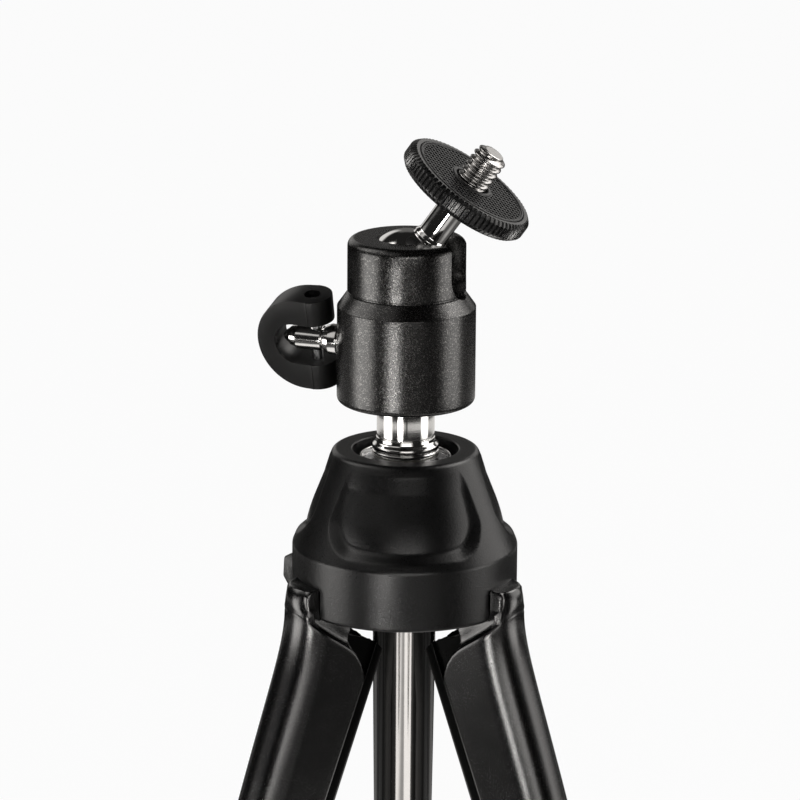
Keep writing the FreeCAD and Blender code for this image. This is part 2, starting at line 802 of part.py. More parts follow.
def leg_shell():
    """Convex shell, open inwards, with the hinge tongue at its top."""
    step = (leg_bottom + 1 - leg_top) / (leg_stations - 1)
    sections = [leg_section(leg_top + step * index) for index in range(leg_stations)]
    body = Part.makeLoft(sections, True, False)
    crown_out = leg_crown(leg_top) + 1
    side_view = plate([
        (crown_out, -leg_shoulder_drop, 0),
        (leg_inner, -leg_shoulder_drop - leg_shoulder_fall, leg_shoulder_round),
        (leg_inner, -leg_bottom, 0),
        (crown_out, -leg_bottom, 0),
    ], -10, 10)
    body = body.common(side_view)
    depths = (leg_channel_top + 8, leg_bottom * 0.5, leg_bottom * 0.75, leg_bottom)
    channel_floor = [(leg_crown(drop) - leg_channel_wall, -drop, 0) for drop in depths]
    channel = plate([
        (leg_inner - 1, -leg_channel_top, 0),
        (channel_floor[0][0] - 3, -leg_channel_top, 2.0),
        *channel_floor,
        (channel_floor[-1][0], -leg_bottom - 1, 0),
        (leg_inner - 1, -leg_bottom - 1, 0),
    ], -leg_channel_half, leg_channel_half)
    neck = block(leg_inner - 1, tube_x + upper_tube_radius + leg_neck_room, -leg_channel_half,
                 leg_channel_half, -leg_channel_top - 1, -leg_neck_top)
    tongue = plate([
        (-tongue_round, 0, 0),
        (hub_skirt_radius - pin_circle + 0.3, 0.4, 2.2),
        (hub_skirt_radius - pin_circle + 0.3, -8.0, 0),
        (4.0, -13.5, 0),
        (0.5, -13.5, 0),
        (-tongue_round, -6.0, 0),
    ], -tongue_half, tongue_half)
    tongue = fused(tongue, bar(tongue_round, -tongue_half, tongue_half, Y_AXIS))
    body = body.fuse(tongue.rotated(ORIGIN, Y_AXIS, spread)).cut(fused(channel, neck))
    body = body.cut(bar(pin_radius + running_gap, -10, 10, Y_AXIS))
    return body.removeSplitter()


def leg_liner():
    """Channel strip that closes the shell's open side and shows the tube through a slot."""
    low, high = -leg_bottom + 0.1, -liner_top
    flange_x = leg_inner - liner_fit
    side = [(flange_x, liner_flange_half), (liner_bend, liner_bend_half),
            (liner_face, liner_face_half)]
    corners = [V(x, y, low) for x, y in side] + [V(x, -y, low) for x, y in reversed(side)]
    flange = Part.Face(Part.makePolygon(corners + corners[:1])).extrude(V(0, 0, high - low))
    core = block(flange_x - 0.5, liner_front, -liner_half, liner_half, low, -leg_channel_top - 0.5)
    neck = block(flange_x - 0.5, tube_x + upper_tube_radius, -liner_half, liner_half,
                 -leg_channel_top - 1, high)
    body = fused(flange, core, neck)
    side_view = plate([
        (liner_front + 1, high, 0),
        (flange_x, high, 0),
        (liner_face, high - liner_top_fall, 0),
        (liner_face, low, 0),
        (liner_front + 1, low, 0),
    ], -10, 10)
    body = body.common(side_view)
    body = body.cut(rod(upper_tube_radius + liner_fit, low - 1, high + 2, tube_x))
    slot = Part.Face(Part.makePolygon([
        V(liner_face - 1, slot_top_half, high + 1),
        V(liner_face - 1, slot_half, -slot_widen_drop),
        V(liner_face - 1, slot_half, low - 1),
        V(liner_face - 1, -slot_half, low - 1),
        V(liner_face - 1, -slot_half, -slot_widen_drop),
        V(liner_face - 1, -slot_top_half, high + 1),
        V(liner_face - 1, slot_top_half, high + 1),
    ])).extrude(V(tube_x - liner_face + 1, 0, 0))
    return body.cut(slot).removeSplitter()


def upper_tube():
    low, high = -leg_bottom - collar_counterbore + 0.05, -upper_tube_top
    inner = upper_tube_radius - upper_tube_wall
    return rod(upper_tube_radius, low, high, tube_x).cut(rod(inner, low - 1, high + 1, tube_x))


def leg_collar():
    """Guide collar at the foot of the shell."""
    outline = [
        (collar_x_in, -collar_half, collar_inner_corner),
        (collar_x_out, -collar_half, collar_corner),
        (collar_x_out, collar_half, collar_corner),
        (collar_x_in, collar_half, collar_inner_corner),
    ]
    body = plate(outline, leg_bottom + 0.02, leg_bottom + collar_height).rotated(ORIGIN, X_AXIS, -90)
    low = -leg_bottom - collar_height - 1
    body = body.cut(rod(lower_tube_radius + slip_gap, low, 0, tube_x))
    counterbore = rod(upper_tube_radius, -leg_bottom - collar_counterbore, 0, tube_x)
    return body.cut(counterbore)


def lower_tube():
    bore = lower_tube_radius - lower_tube_wall
    body = rod(lower_tube_radius, -lower_tube_bottom, -lower_tube_top, tube_x)
    return body.cut(rod(bore, -lower_tube_bottom - 1, -lower_tube_top + 1, tube_x))


def tube_stop():
    bore = lower_tube_radius - lower_tube_wall
    return fused(rod(lower_tube_radius, -lower_tube_top, -lower_tube_top + 2.0, tube_x),
                 rod(bore, -lower_tube_top - tube_stop_length, -lower_tube_top, tube_x))


def foot():
    top = -leg_bottom - collar_height - foot_gap
    body = turned([
        (0, -leg_reach - foot_overrun, 0),
        (foot_radius, -leg_reach - foot_overrun, foot_edge_round),
        (foot_radius, top - 6.5, 3.0),
        (foot_neck_radius, top, 0.6),
        (0, top, 0),
    ]).translated(V(tube_x, 0, 0))
    body = body.cut(rod(lower_tube_radius, -lower_tube_bottom, top + 1, tube_x))
    return body.cut(rod(lower_tube_radius - lower_tube_wall - 0.2, -lower_tube_bottom - 1, top,
                        tube_x))


# Write every piece

for name, maker in (
        ("hub_shell", hub_shell), ("hub_core", hub_core), ("column_bushing", column_bushing),
        ("bearing_cup", bearing_cup), ("wave_washer", wave_washer), ("hinge_pins", hinge_pins),
        ("hinge_washers", hinge_washers), ("core_screws", core_screws),
        ("lever_pin", lever_pin), ("column_lever", column_lever), ("clamp_shoe", clamp_shoe),
        ("centre_column", centre_column), ("column_washer", column_washer),
        ("column_screw", column_screw)):
    write(name, maker(), hub_z)

for name, maker in (
        ("head_housing", head_housing), ("base_plug", base_plug), ("ball_seat", ball_seat),
        ("plunger", plunger)):
    write(name, maker(), head_z)

for name, maker in (
        ("ball_stem", ball_stem), ("camera_screw", camera_screw),
        ("platform_wheel", platform_wheel), ("rubber_pad", rubber_pad)):
    write(name, tilted(maker()), head_z)

for name, maker in (
        ("lock_spindle", lock_spindle), ("wing_pin", wing_pin), ("lock_wing", lock_wing)):
    write(name, at_spindle(maker()), head_z)

table_cut = block(-40, 40, -40, 40, -60, 0)
for name, maker in (
        ("leg_shell", leg_shell), ("leg_liner", leg_liner), ("upper_tube", upper_tube),
        ("leg_collar", leg_collar), ("lower_tube", lower_tube), ("tube_stop", tube_stop),
        ("foot", foot)):
    piece = hang(maker())
    if name == "foot":
        piece = piece.cut(table_cut.translated(V(pin_circle + leg_reach * math.sin(spread_rad), 0, 0)))
    for number, azimuth in enumerate(leg_azimuths, 1):
        write("%s_%d" % (name, number), around(piece, azimuth))

print("hub_z %.3f head_z %.3f pin_height %.3f" % (hub_z, head_z, pin_height))
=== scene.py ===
"""Tabletop tripod with a ball head, dressed for its studio photograph.

Every mesh is made in millimetres in the simple frame that its solid was drawn in. A Place then
sets it where it belongs on the table, in metres.
"""
import sys

import logging
import math
from dataclasses import dataclass
from enum import Enum
from typing import Callable, Optional, Sequence, Union

import bmesh
import bpy
import numpy as np
from mathutils import Matrix, Vector


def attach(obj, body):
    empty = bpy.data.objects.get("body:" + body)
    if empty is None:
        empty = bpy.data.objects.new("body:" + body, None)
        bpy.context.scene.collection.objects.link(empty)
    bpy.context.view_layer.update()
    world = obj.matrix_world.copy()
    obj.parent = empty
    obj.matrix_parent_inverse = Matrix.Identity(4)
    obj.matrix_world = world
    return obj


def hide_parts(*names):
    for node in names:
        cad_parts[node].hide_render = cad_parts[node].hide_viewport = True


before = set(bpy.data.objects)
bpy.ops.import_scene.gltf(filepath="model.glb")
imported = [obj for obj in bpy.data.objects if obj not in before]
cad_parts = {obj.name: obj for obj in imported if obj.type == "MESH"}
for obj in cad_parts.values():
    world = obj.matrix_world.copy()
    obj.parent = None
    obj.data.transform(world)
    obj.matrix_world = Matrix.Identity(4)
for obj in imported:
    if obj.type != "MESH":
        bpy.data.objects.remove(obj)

LOG = logging.getLogger("tripod")
MM = 0.001
WELD = 1e-4
WHITE = (1.0, 1.0, 1.0)
WARM = (1.0, 0.975, 0.945)
LEG_AZIMUTHS = (90.0, 210.0, 330.0)

Colour = tuple[float, float, float]
Corner = tuple[float, float, float]  # x, z and the radius that rounds it
Spot = tuple[float, float, float]
Point = tuple[float, float]
Value = Union["Signal", float, int]
Relieve = Callable[[np.ndarray, np.ndarray, np.ndarray], np.ndarray]


# Node trees

class Signal:
    """An output socket that takes part in Python arithmetic."""

    def __init__(self, graph: "Graph", socket: bpy.types.NodeSocket) -> None:
        """Keep the socket and the graph that it belongs to."""
        self.graph = graph
        self.socket = socket

    def _with(self, operation: str, first: Value, second: Value) -> "Signal":
        """One Math node on two values."""
        return self.graph.node("ShaderNodeMath", {"operation": operation}, {0: first, 1: second})

    def __add__(self, other: Value) -> "Signal":
        """Sum."""
        return self._with("ADD", self, other)

    def __radd__(self, other: Value) -> "Signal":
        """Sum, with the number on the left."""
        return self._with("ADD", other, self)

    def __sub__(self, other: Value) -> "Signal":
        """Difference."""
        return self._with("SUBTRACT", self, other)

    def __rsub__(self, other: Value) -> "Signal":
        """Difference, with the number on the left."""
        return self._with("SUBTRACT", other, self)

    def __mul__(self, other: Value) -> "Signal":
        """Product."""
        return self._with("MULTIPLY", self, other)

    def __rmul__(self, other: Value) -> "Signal":
        """Product, with the number on the left."""
        return self._with("MULTIPLY", other, self)

    def __truediv__(self, other: Value) -> "Signal":
        """Quotient."""
        return self._with("DIVIDE", self, other)

    def __rtruediv__(self, other: Value) -> "Signal":
        """Quotient, with the number on the left."""
        return self._with("DIVIDE", other, self)

    def __pow__(self, other: Value) -> "Signal":
        """Power."""
        return self._with("POWER", self, other)

    def __rpow__(self, other: Value) -> "Signal":
        """Power, with the number on the left."""
        return self._with("POWER", other, self)

    def at_least(self, floor: Value) -> "Signal":
        """The larger of this and a floor."""
        return self._with("MAXIMUM", self, floor)

    def at_most(self, ceiling: Value) -> "Signal":
        """The smaller of this and a ceiling."""
        return self._with("MINIMUM", self, ceiling)

    def arctangent(self, beside: Value) -> "Signal":
        """Angle whose tangent is this over another value."""
        return self._with("ARCTAN2", self, beside)

    def alone(self, operation: str) -> "Signal":
        """A Math node of one value, such as a cosine."""
        return self.graph.node("ShaderNodeMath", {"operation": operation}, {0: self})

    def ramp(self, low: Value, high: Value) -> "Signal":
        """Smooth step from 0 at low to 1 at high."""
        return self.graph.node("ShaderNodeMapRange", {"interpolation_type": "SMOOTHSTEP"},
                               {"Value": self, "From Min": low, "From Max": high})

    def out(self, name: str) -> "Signal":
        """Another output of the same node."""
        return Signal(self.graph, self.socket.node.outputs[name])


class Graph:
    """A node tree that is being wired."""

    def __init__(self, tree: bpy.types.NodeTree) -> None:
        """Start from an empty tree."""
        tree.nodes.clear()
        self.tree = tree

    @staticmethod
    def pick(sockets: Sequence[bpy.types.NodeSocket], key: Union[int, str]) -> bpy.types.NodeSocket:
        """A socket by its number, or else by its identifier or its name."""
        if isinstance(key, int):
            return sockets[key]
        return next(s for s in sockets if key in (s.identifier, s.name))

    def node(self, kind: str, settings: Optional[dict] = None, inputs: Optional[dict] = None,
             out: Union[int, str] = 0) -> Optional[Signal]:
        """Add one node.

        Args:
            kind: Blender's name of the node type.
            settings: Properties, which are set first.
            inputs: Numbers, colours or signals by socket number, identifier or name.
            out: The output that the result stands for.

        Returns:
            The chosen output, or None where the node has no outputs.
        """
        made = self.tree.nodes.new(kind)
        for name, value in (settings or {}).items():
            setattr(made, name, value)
        for key, value in (inputs or {}).items():
            socket = self.pick(made.inputs, key)
            if isinstance(value, Signal):
                self.tree.links.new(value.socket, socket)
            else:
                socket.default_value = (*value, 1.0) if socket.type == "RGBA" else value
        return Signal(self, self.pick(made.outputs, out)) if len(made.outputs) else None

    def mix(self, factor: Value, first: Union[Signal, Colour],
            second: Union[Signal, Colour]) -> Signal:
        """Blend of two colours, from the first at 0 to the second at 1."""
        return self.node("ShaderNodeMix", {"data_type": "RGBA"},
                         {"Factor_Float": factor, "A_Color": first, "B_Color": second},
                         "Result_Color")

    def bump(self, height: Signal, distance: float, strength: float = 1.0) -> Signal:
        """Normal of a surface that a height raises by up to a distance in millimetres."""
        return self.node("ShaderNodeBump", inputs={"Strength": strength, "Distance": distance * MM,
                                                   "Height": height})

    def axes(self, vector: Signal) -> tuple[Signal, Signal, Signal]:
        """The three parts of a vector."""
        parts = self.node("ShaderNodeSeparateXYZ", inputs={0: vector})
        return parts.out("X"), parts.out("Y"), parts.out("Z")

    def local(self, place: "Place") -> Signal:
        """Coordinates in a place's own frame of millimetres.

        Args:
            place: The frame that the pattern is centred in and turned with.

        Returns:
            The vector signal.
        """
        spin = Matrix([row / MM for row in place.matrix.to_3x3()]).transposed()
        shift = -(spin @ place.matrix.translation) / MM
        where = self.node("ShaderNodeTexCoord", out="Object")
        return self.node("ShaderNodeMapping", {"vector_type": "POINT"},
                         {"Vector": where, "Location": shift, "Rotation": spin.to_euler(),
                          "Scale": (1 / MM,) * 3})

    def noise(self, where: Signal, size: float, detail: float = 2.0) -> Signal:
        """Noise whose features are about a given size in millimetres."""
        return self.node("ShaderNodeTexNoise", inputs={"Vector": where, "Scale": 1 / size,
                                                       "Detail": detail, "Roughness": 0.55})

    def stretched(self, where: Signal, scale: tuple[float, float, float]) -> Signal:
        """Coordinates multiplied along each axis."""
        return self.node("ShaderNodeVectorMath", {"operation": "MULTIPLY"}, {0: where, 1: scale})


# Frames

class Axis(Enum):
    """The axes of a frame."""

    X = "X"
    Y = "Y"
    Z = "Z"


@dataclass(frozen=True)
class Place:
    """A local frame of millimetres, and the matrix that sets it on the table in metres."""

    name: str
    matrix: Matrix


def turn(degrees: float, axis: Axis = Axis.Z) -> Matrix:
    """Rotation matrix about one axis."""
    return Matrix.Rotation(math.radians(degrees), 4, axis.value)


def move(x: float, y: float, z: float) -> Matrix:
    """Translation matrix."""
    return Matrix.Translation((x, y, z))


@dataclass(frozen=True)
class Stance:
    """How the tripod stands, in millimetres and degrees."""

    spread: float = 20.0
    leg_reach: float = 118.0
    tube_x: float = -6.9
    pin_circle: float = 14.6
    pin_drop: float = 24.5
    column_rise: float = 9.2
    housing_height: float = 31.4
    ball_drop: float = 6.2
    tilt: float = 35.0
    tilt_azimuth: float = -13.0
    spindle_drop: float = 20.9
    spindle_azimuth: float = 160.0
    spindle_lean: float = 14.0

    @property
    def pin_height(self) -> float:
        """Height of the leg pins above the table."""
        lean = math.radians(self.spread)
        return self.leg_reach * math.cos(lean) - self.tube_x * math.sin(lean)

    @property
    def head_matrix(self) -> Matrix:
        """The head's frame in millimetres."""
        rise = self.column_rise + self.housing_height
        return move(0, 0, self.pin_height + self.pin_drop + rise)

    def stand(self, name: str, matrix: Matrix) -> Place:
        """A place whose matrix ends in metres."""
        return Place(name, Matrix.Scale(MM, 4) @ matrix)

    def hub(self) -> Place:
        """The hub's frame, with its upper face at height zero."""
        return self.stand("hub", move(0, 0, self.pin_height + self.pin_drop))

    def head(self) -> Place:
        """The head's frame, with its upper face at height zero."""
        return self.stand("head", self.head_matrix)

    def ball(self) -> Place:
        """The ball's frame, upright along the stem."""
        lean = turn(self.tilt_azimuth) @ turn(self.tilt, Axis.Y)
        return self.stand("ball", self.head_matrix @ move(0, 0, -self.ball_drop) @ lean)

    def spindle(self) -> Place:
        """The lock spindle's frame, with +X outwards."""
        lean = turn(self.spindle_azimuth) @ turn(-self.spindle_lean, Axis.X)
        return self.stand("spindle", self.head_matrix @ move(0, 0, -self.spindle_drop) @ lean)

    def leg(self, number: int) -> Place:
        """The frame of leg 1, 2 or 3, hanging down from its pin."""
        pin = turn(LEG_AZIMUTHS[number - 1]) @ move(self.pin_circle, 0, self.pin_height)
        return self.stand("leg_%d" % number, pin @ turn(-self.spread, Axis.Y))


# Finishes

class Slot(Enum):
    """The record's material slots."""

    HUB = "hub_plastic"
    HEAD = "head_metal"
    CHROME = "chrome"
    STEEL = "steel"
    WING = "wing_plastic"
    WHEEL = "wheel_plastic"
    PAD = "pad_rubber"
    LEG = "leg_plastic"
    LINER = "liner_plastic"
    FOOT = "foot_rubber"
    BEARING = "bearing_plastic"


@dataclass(frozen=True)
class Finish:
    """What every finish shares: a name, a slot of the record, a colour and a gloss."""

    name: str
    slot: Slot
    colour: Colour
    roughness: float

    def material(self, place: Place) -> bpy.types.Material:
        """This finish, with its pattern set in a place's frame.

        Args:
            place: The frame of the piece that wears it.

        Returns:
            The material, made once for each place.
        """
        name = "%s_%s" % (self.name, place.name)
        made = bpy.data.materials.get(name)
        if made is None:
            made = bpy.data.materials.new(name)
            made.use_nodes = True
            graph = Graph(made.node_tree)
            sockets = self.sockets(graph, graph.local(place))
            shader = graph.node("ShaderNodeBsdfPrincipled", inputs=sockets)
            graph.node("ShaderNodeOutputMaterial", inputs={"Surface": shader})
        return made

    def sockets(self, graph: Graph, where: Signal) -> dict:
        """Values and signals for the shader; each finish has its own.

        Args:
            graph: The material's tree.
            where: Coordinates in the piece's frame.

        Returns:
            The values by socket name.
        """
        raise NotImplementedError

    def toned(self, graph: Graph, share: Signal, spread: float) -> Signal:
        """The colour, made darker and lighter by a share of its strength."""
        low, high = (tuple(c * scale for c in self.colour) for scale in (1 - spread, 1 + spread))
        return graph.mix(share, low, high)


@dataclass(frozen=True)
class MouldedPlastic(Finish):
    """Moulded plastic with the grain that a spark-eroded mould leaves, and painted glints on the
    grain's crests.
    """

    grain: float = 0.3
    grain_height: float = 0.010
    cloud: float = 6.0
    spread: float = 0.35
    haze: float = 0.08
    gloss: float = 0.5
    # Painted glints: how much lighter the grain's crests are coloured, and where on the grain this
    # starts and ends.
    painted_glint: float = 2.2
    painted_glint_from: float = 0.56
    painted_glint_to: float = 0.70
    sparkle: float = 0.25

    def sockets(self, graph: Graph, where: Signal) -> dict:
        """Cloudy colour and gloss over a fine even grain, with painted glints: the colour is
        lighter on the grain's crests.

        Args:
            graph: The material's tree.
            where: Coordinates in the piece's frame.

        Returns:
            The values by socket name.
        """
        cloud = graph.noise(where, self.cloud, 3.0)
        grain = graph.noise(where, self.grain)
        speck = graph.noise(where, self.grain * 0.45, 1.0)
        height = grain * 0.7 + speck * 0.3
        body = self.toned(graph, cloud * 0.6 + grain * 0.4, self.spread)
        # Painted glints: the colour is lifted on the crests of the grain, standing in for the
        # sparkle of light in highlights.
        glint_colour = tuple(c * self.painted_glint for c in self.colour)
        glint_mask = height.ramp(self.painted_glint_from, self.painted_glint_to)
        return {
            "Base Color": graph.mix(glint_mask, body, glint_colour),
            "Roughness": (self.roughness + (cloud - 0.5) * self.haze
                          + (0.5 - speck) * self.sparkle),
            "Specular IOR Level": self.gloss,
            "Normal": graph.bump(height, self.grain_height * 2),
        }


@dataclass(frozen=True)
class AnodisedMetal(Finish):
    """Blasted and anodised aluminium, whose grains catch the light one by one."""

    grain: float = 0.26
    grain_height: float = 0.012
    flake: float = 0.15
    flake_from: float = 0.52
    flake_to: float = 0.63
    cloud: float = 5.0
    spread: float = 0.3
    gloss: float = 0.5

    def sockets(self, graph: Graph, where: Signal) -> dict:
        """Dark coat, broken by bright grains of bare metal, on a blasted surface.

        Args:
            graph: The material's tree.
            where: Coordinates in the piece's frame.

        Returns:
            The values by socket name.
        """
        fine = graph.noise(where, self.grain * 0.6, 0.0)
        cloud = graph.noise(where, self.cloud)
        height = graph.noise(where, self.grain, 1.0) * 0.6 + fine * 0.4
        bright = height.ramp(self.flake_from, self.flake_to)
        bare = (self.flake, self.flake * 0.985, self.flake * 0.96)
        return {
            "Base Color": graph.mix(bright, self.toned(graph, cloud, self.spread), bare),
            "Metallic": bright,
            "Roughness": self.roughness + (fine - 0.5) * 0.2 + (cloud - 0.5) * 0.06,
            "Specular IOR Level": self.gloss,
            "Normal": graph.bump(height, self.grain_height * 2),
        }


@dataclass(frozen=True)
class PolishedMetal(Finish):
    """Plated or bare metal with the fine rings that turning leaves."""

    rings: float = 0.12
    ring_height: float = 0.0012
    along: Axis = Axis.Z

    def sockets(self, graph: Graph, where: Signal) -> dict:
        """Bright metal, dulled a little in clouds, with rings across its axis.

        Args:
            graph: The material's tree.
            where: Coordinates in the piece's frame.

        Returns:
            The values by socket name.
        """
        thin, wide = 1 / self.rings, 0.08
        scale = (thin, wide, wide) if self.along is Axis.X else (wide, wide, thin)
        marks = graph.noise(graph.stretched(where, scale), 1.0)
        cloud = graph.noise(where, 2.5, 3.0)
        return {
            "Base Color": self.toned(graph, cloud, 0.06),
            "Metallic": 1.0,
            "Roughness": self.roughness + (cloud - 0.5) * 0.06 + (marks - 0.5) * 0.05,
            "Normal": graph.bump(marks, self.ring_height),
        }


@dataclass(frozen=True)
class Rubber(Finish):
    """Soft rubber with a dusty bloom."""

    grain: float = 0.25

    def sockets(self, graph: Graph, where: Signal) -> dict:
        """Matt colour with lighter bloom and a soft grain.

        Args:
            graph: The material's tree.
            where: Coordinates in the piece's frame.

        Returns:
            The values by socket name.
        """
        bloom = graph.noise(where, 3.0, 4.0)
        grain = graph.noise(where, self.grain)
        return {
            "Base Color": self.toned(graph, bloom * 0.7 + grain * 0.3, 0.4),
            "Roughness": self.roughness + (bloom - 0.5) * 0.15,
            "Specular IOR Level": 0.4,
            "Normal": graph.bump(grain, 0.03, 0.6),
        }


@dataclass(frozen=True)
class Acetal(Finish):
    """Slick machined plastic of the bearings."""

    def sockets(self, graph: Graph, where: Signal) -> dict:
        """Waxy colour with faint turning rings.

        Args:
            graph: The material's tree.
            where: Coordinates in the piece's frame.

        Returns:
            The values by socket name.
        """
        rings = graph.noise(graph.stretched(where, (0.3, 0.3, 6.0)), 1.0)
        cloud = graph.noise(where, 3.0)
        return {
            "Base Color": self.toned(graph, cloud, 0.12),
            "Roughness": self.roughness + (rings - 0.5) * 0.12,
            "Normal": graph.bump(rings, 0.02, 0.5),
        }


# The plastics' glint numbers below set painted glints: how much lighter the crests of their grain
# are coloured.
HUB_PLASTIC = MouldedPlastic("hub_plastic", Slot.HUB, (0.0085, 0.0085, 0.009), 0.32, grain=0.36,
                             grain_height=0.018, gloss=0.45)
LEG_PLASTIC = MouldedPlastic("leg_plastic", Slot.LEG, (0.006, 0.006, 0.0062), 0.22, grain=0.34,
                             grain_height=0.012, gloss=0.85)
WING_PLASTIC = MouldedPlastic("wing_plastic", Slot.WING, (0.0105, 0.0105, 0.0108), 0.40,
                              grain_height=0.004, gloss=0.4, painted_glint=1.3, sparkle=0.1)
WHEEL_PLASTIC = MouldedPlastic("wheel_plastic", Slot.WHEEL, (0.017, 0.017, 0.0175), 0.30,
                               grain_height=0.012, gloss=0.75, painted_glint=3.0)
LINER_PLASTIC = MouldedPlastic("liner_plastic", Slot.LINER, (0.0022, 0.0026, 0.0025), 0.30,
                               grain=0.8, grain_height=0.002, gloss=0.10, painted_glint=1.2,
                               sparkle=0.05)
HEAD_METAL = AnodisedMetal("head_metal", Slot.HEAD, (0.0060, 0.0059, 0.0057), 0.25)
CHROME = PolishedMetal("chrome", Slot.CHROME, (0.80, 0.795, 0.785), 0.09)
SPINDLE_CHROME = PolishedMetal("spindle_chrome", Slot.CHROME, (0.80, 0.795, 0.785), 0.15,
                               along=Axis.X)
SCREW_CHROME = PolishedMetal("screw_chrome", Slot.CHROME, (0.52, 0.51, 0.50), 0.26, rings=0.5)
TUBE_CHROME = PolishedMetal("tube_chrome", Slot.CHROME, (0.82, 0.80, 0.785), 0.13, rings=0.6)
STEEL = PolishedMetal("steel", Slot.STEEL, (0.56, 0.56, 0.57), 0.28, ring_height=0.003)
PAD_RUBBER = Rubber("pad_rubber", Slot.PAD, (0.052, 0.052, 0.0525), 0.37)
FOOT_RUBBER = Rubber("foot_rubber", Slot.FOOT, (0.018, 0.018, 0.018), 0.7)
BEARING_ACETAL = Acetal("bearing_acetal", Slot.BEARING, (0.62, 0.61, 0.57), 0.4)
DARK_ACETAL = Acetal("dark_acetal", Slot.BEARING, (0.02, 0.02, 0.021), 0.35)


# Outlines and meshes, in millimetres

def rounded(corners: Sequence[Corner], closed: bool = True, steps: int = 6) -> list[Point]:
    """Outline with its corners rounded.

    Args:
        corners: (x, z, radius) of each corner.
        closed: Whether the last corner joins the first.
        steps: Straight runs in each rounded corner.

    Returns:
        The points of the outline.
    """
    points: list[Point] = []
    count = len(corners)
    for index, (x, z, radius) in enumerate(corners):
        if radius <= 0 or (not closed and index in (0, count - 1)):
            points.append((x, z))
            continue
        here = Vector((x, z))
        back = (Vector(corners[index - 1][:2]) - here).normalized()
        ahead = (Vector(corners[(index + 1) % count][:2]) - here).normalized()
        half = back.angle(ahead) / 2
        centre = here + (back + ahead).normalized() * (radius / math.sin(half))
        tangent = radius / math.tan(half)
        start, end = here + back * tangent - centre, here + ahead * tangent - centre
        for step in range(steps + 1):
            arm = start.slerp(end, step / steps).normalized() * radius
            points.append((centre.x + arm.x, centre.y + arm.y))
    return points


def resampled(points: Sequence[Point], spacing: float, closed: bool = True) -> list[Point]:
    """Outline whose long runs are divided.

    Args:
        points: The points of the outline.
        spacing: The longest step.
        closed: Whether the last point joins the first.

    Returns:
        The points, with new ones between them.
    """
    result: list[Point] = []
    pairs = zip(points, [*points[1:], points[0]] if closed else points[1:])
    for (x0, z0), (x1, z1) in pairs:
        count = max(1, math.ceil(math.hypot(x1 - x0, z1 - z0) / spacing))
        result += [(x0 + (x1 - x0) * i / count, z0 + (z1 - z0) * i / count) for i in range(count)]
    return result if closed else [*result, points[-1]]


def mesh_of(points: Sequence, faces: Sequence) -> bpy.types.Mesh:
    """Closed mesh with its doubles merged and its faces turned outwards.

    Args:
        points: Corner points.
        faces: Corner numbers of each face.

    Returns:
        The mesh.
    """
    mesh = bpy.data.meshes.new("work")
    mesh.from_pydata([tuple(map(float, p)) for p in points], [],
                     [tuple(map(int, f)) for f in faces])
    work = bmesh.new()
    work.from_mesh(mesh)
    bmesh.ops.remove_doubles(work, verts=work.verts, dist=WELD)
    bmesh.ops.dissolve_degenerate(work, edges=work.edges, dist=WELD)
    bmesh.ops.recalc_face_normals(work, faces=work.faces)
    work.to_mesh(mesh)
    work.free()
    return mesh


def turned(outline: Sequence[Point], steps: int = 128,
           relieve: Optional[Relieve] = None) -> bpy.types.Mesh:
    """Body turned about Z from a closed outline of (radius, z).

    Args:
        outline: Points of the outline; those at radius zero become poles.
        steps: Divisions round the axis.
        relieve: Gives how far each point is sunk, from azimuths, radii and heights.

    Returns:
        The mesh.
    """
    radii, heights = (np.array(column) for column in zip(*outline))
    rows = len(outline)
    angle = np.tile(np.arange(steps) * (2 * math.pi / steps), (rows, 1))
    radius = np.tile(radii[:, None], (1, steps))
    height = np.tile(heights[:, None], (1, steps))
    if relieve:
        radius = radius - relieve(angle, radius, height)
    points = np.stack([radius * np.cos(angle), radius * np.sin(angle), height], -1).reshape(-1, 3)
    faces = []
    for row in range(rows):
        following = (row + 1) % rows
        if radii[row] == 0 and radii[following] == 0:
            continue
        for step in range(steps):
            right = (step + 1) % steps
            faces.append((row * steps + step, row * steps + right,
                          following * steps + right, following * steps + step))
    return mesh_of(points, faces)


def rod(radius: float, low: float, high: float, steps: int) -> bpy.types.Mesh:
    """Plain cylinder about Z."""
    return turned([(0, low), (radius, low), (radius, high), (0, high)], steps)


def skin_faces(rows: int, count: int) -> list[tuple[int, ...]]:
    """Quads that join rings of equal count, numbered row by row."""
    return [(row * count + i, row * count + (i + 1) % count,
             (row + 1) * count + (i + 1) % count, (row + 1) * count + i)
            for row in range(rows - 1) for i in range(count)]


def skinned(rings: Sequence[Sequence[Sequence[float]]]) -> bpy.types.Mesh:
    """Closed tube through rings of equal count, with flat ends.

    Args:
        rings: Rings of (x, y, z).

    Returns:
        The mesh.
    """
    count = len(rings[0])
    last = (len(rings) - 1) * count
    ends = [tuple(range(count)), tuple(last + i for i in range(count))]
    return mesh_of([point for ring in rings for point in ring],
                   [*skin_faces(len(rings), count), *ends])


def plate(outline: Sequence[Point], low: float, high: float) -> bpy.types.Mesh:
    """Outline of (x, z) given thickness from y = low to y = high."""
    return skinned([[(x, y, z) for x, z in outline] for y in (low, high)])


def moved(mesh: bpy.types.Mesh, matrix: Matrix) -> bpy.types.Mesh:
    """The mesh, moved or turned by a matrix."""
    mesh.transform(matrix)
    return mesh


def linked(name: str, data: bpy.types.ID) -> bpy.types.Object:
    """New object in the scene that holds a mesh, a lamp or a camera."""
    made = bpy.data.objects.new(name, data)
    bpy.context.scene.collection.objects.link(made)
    return made


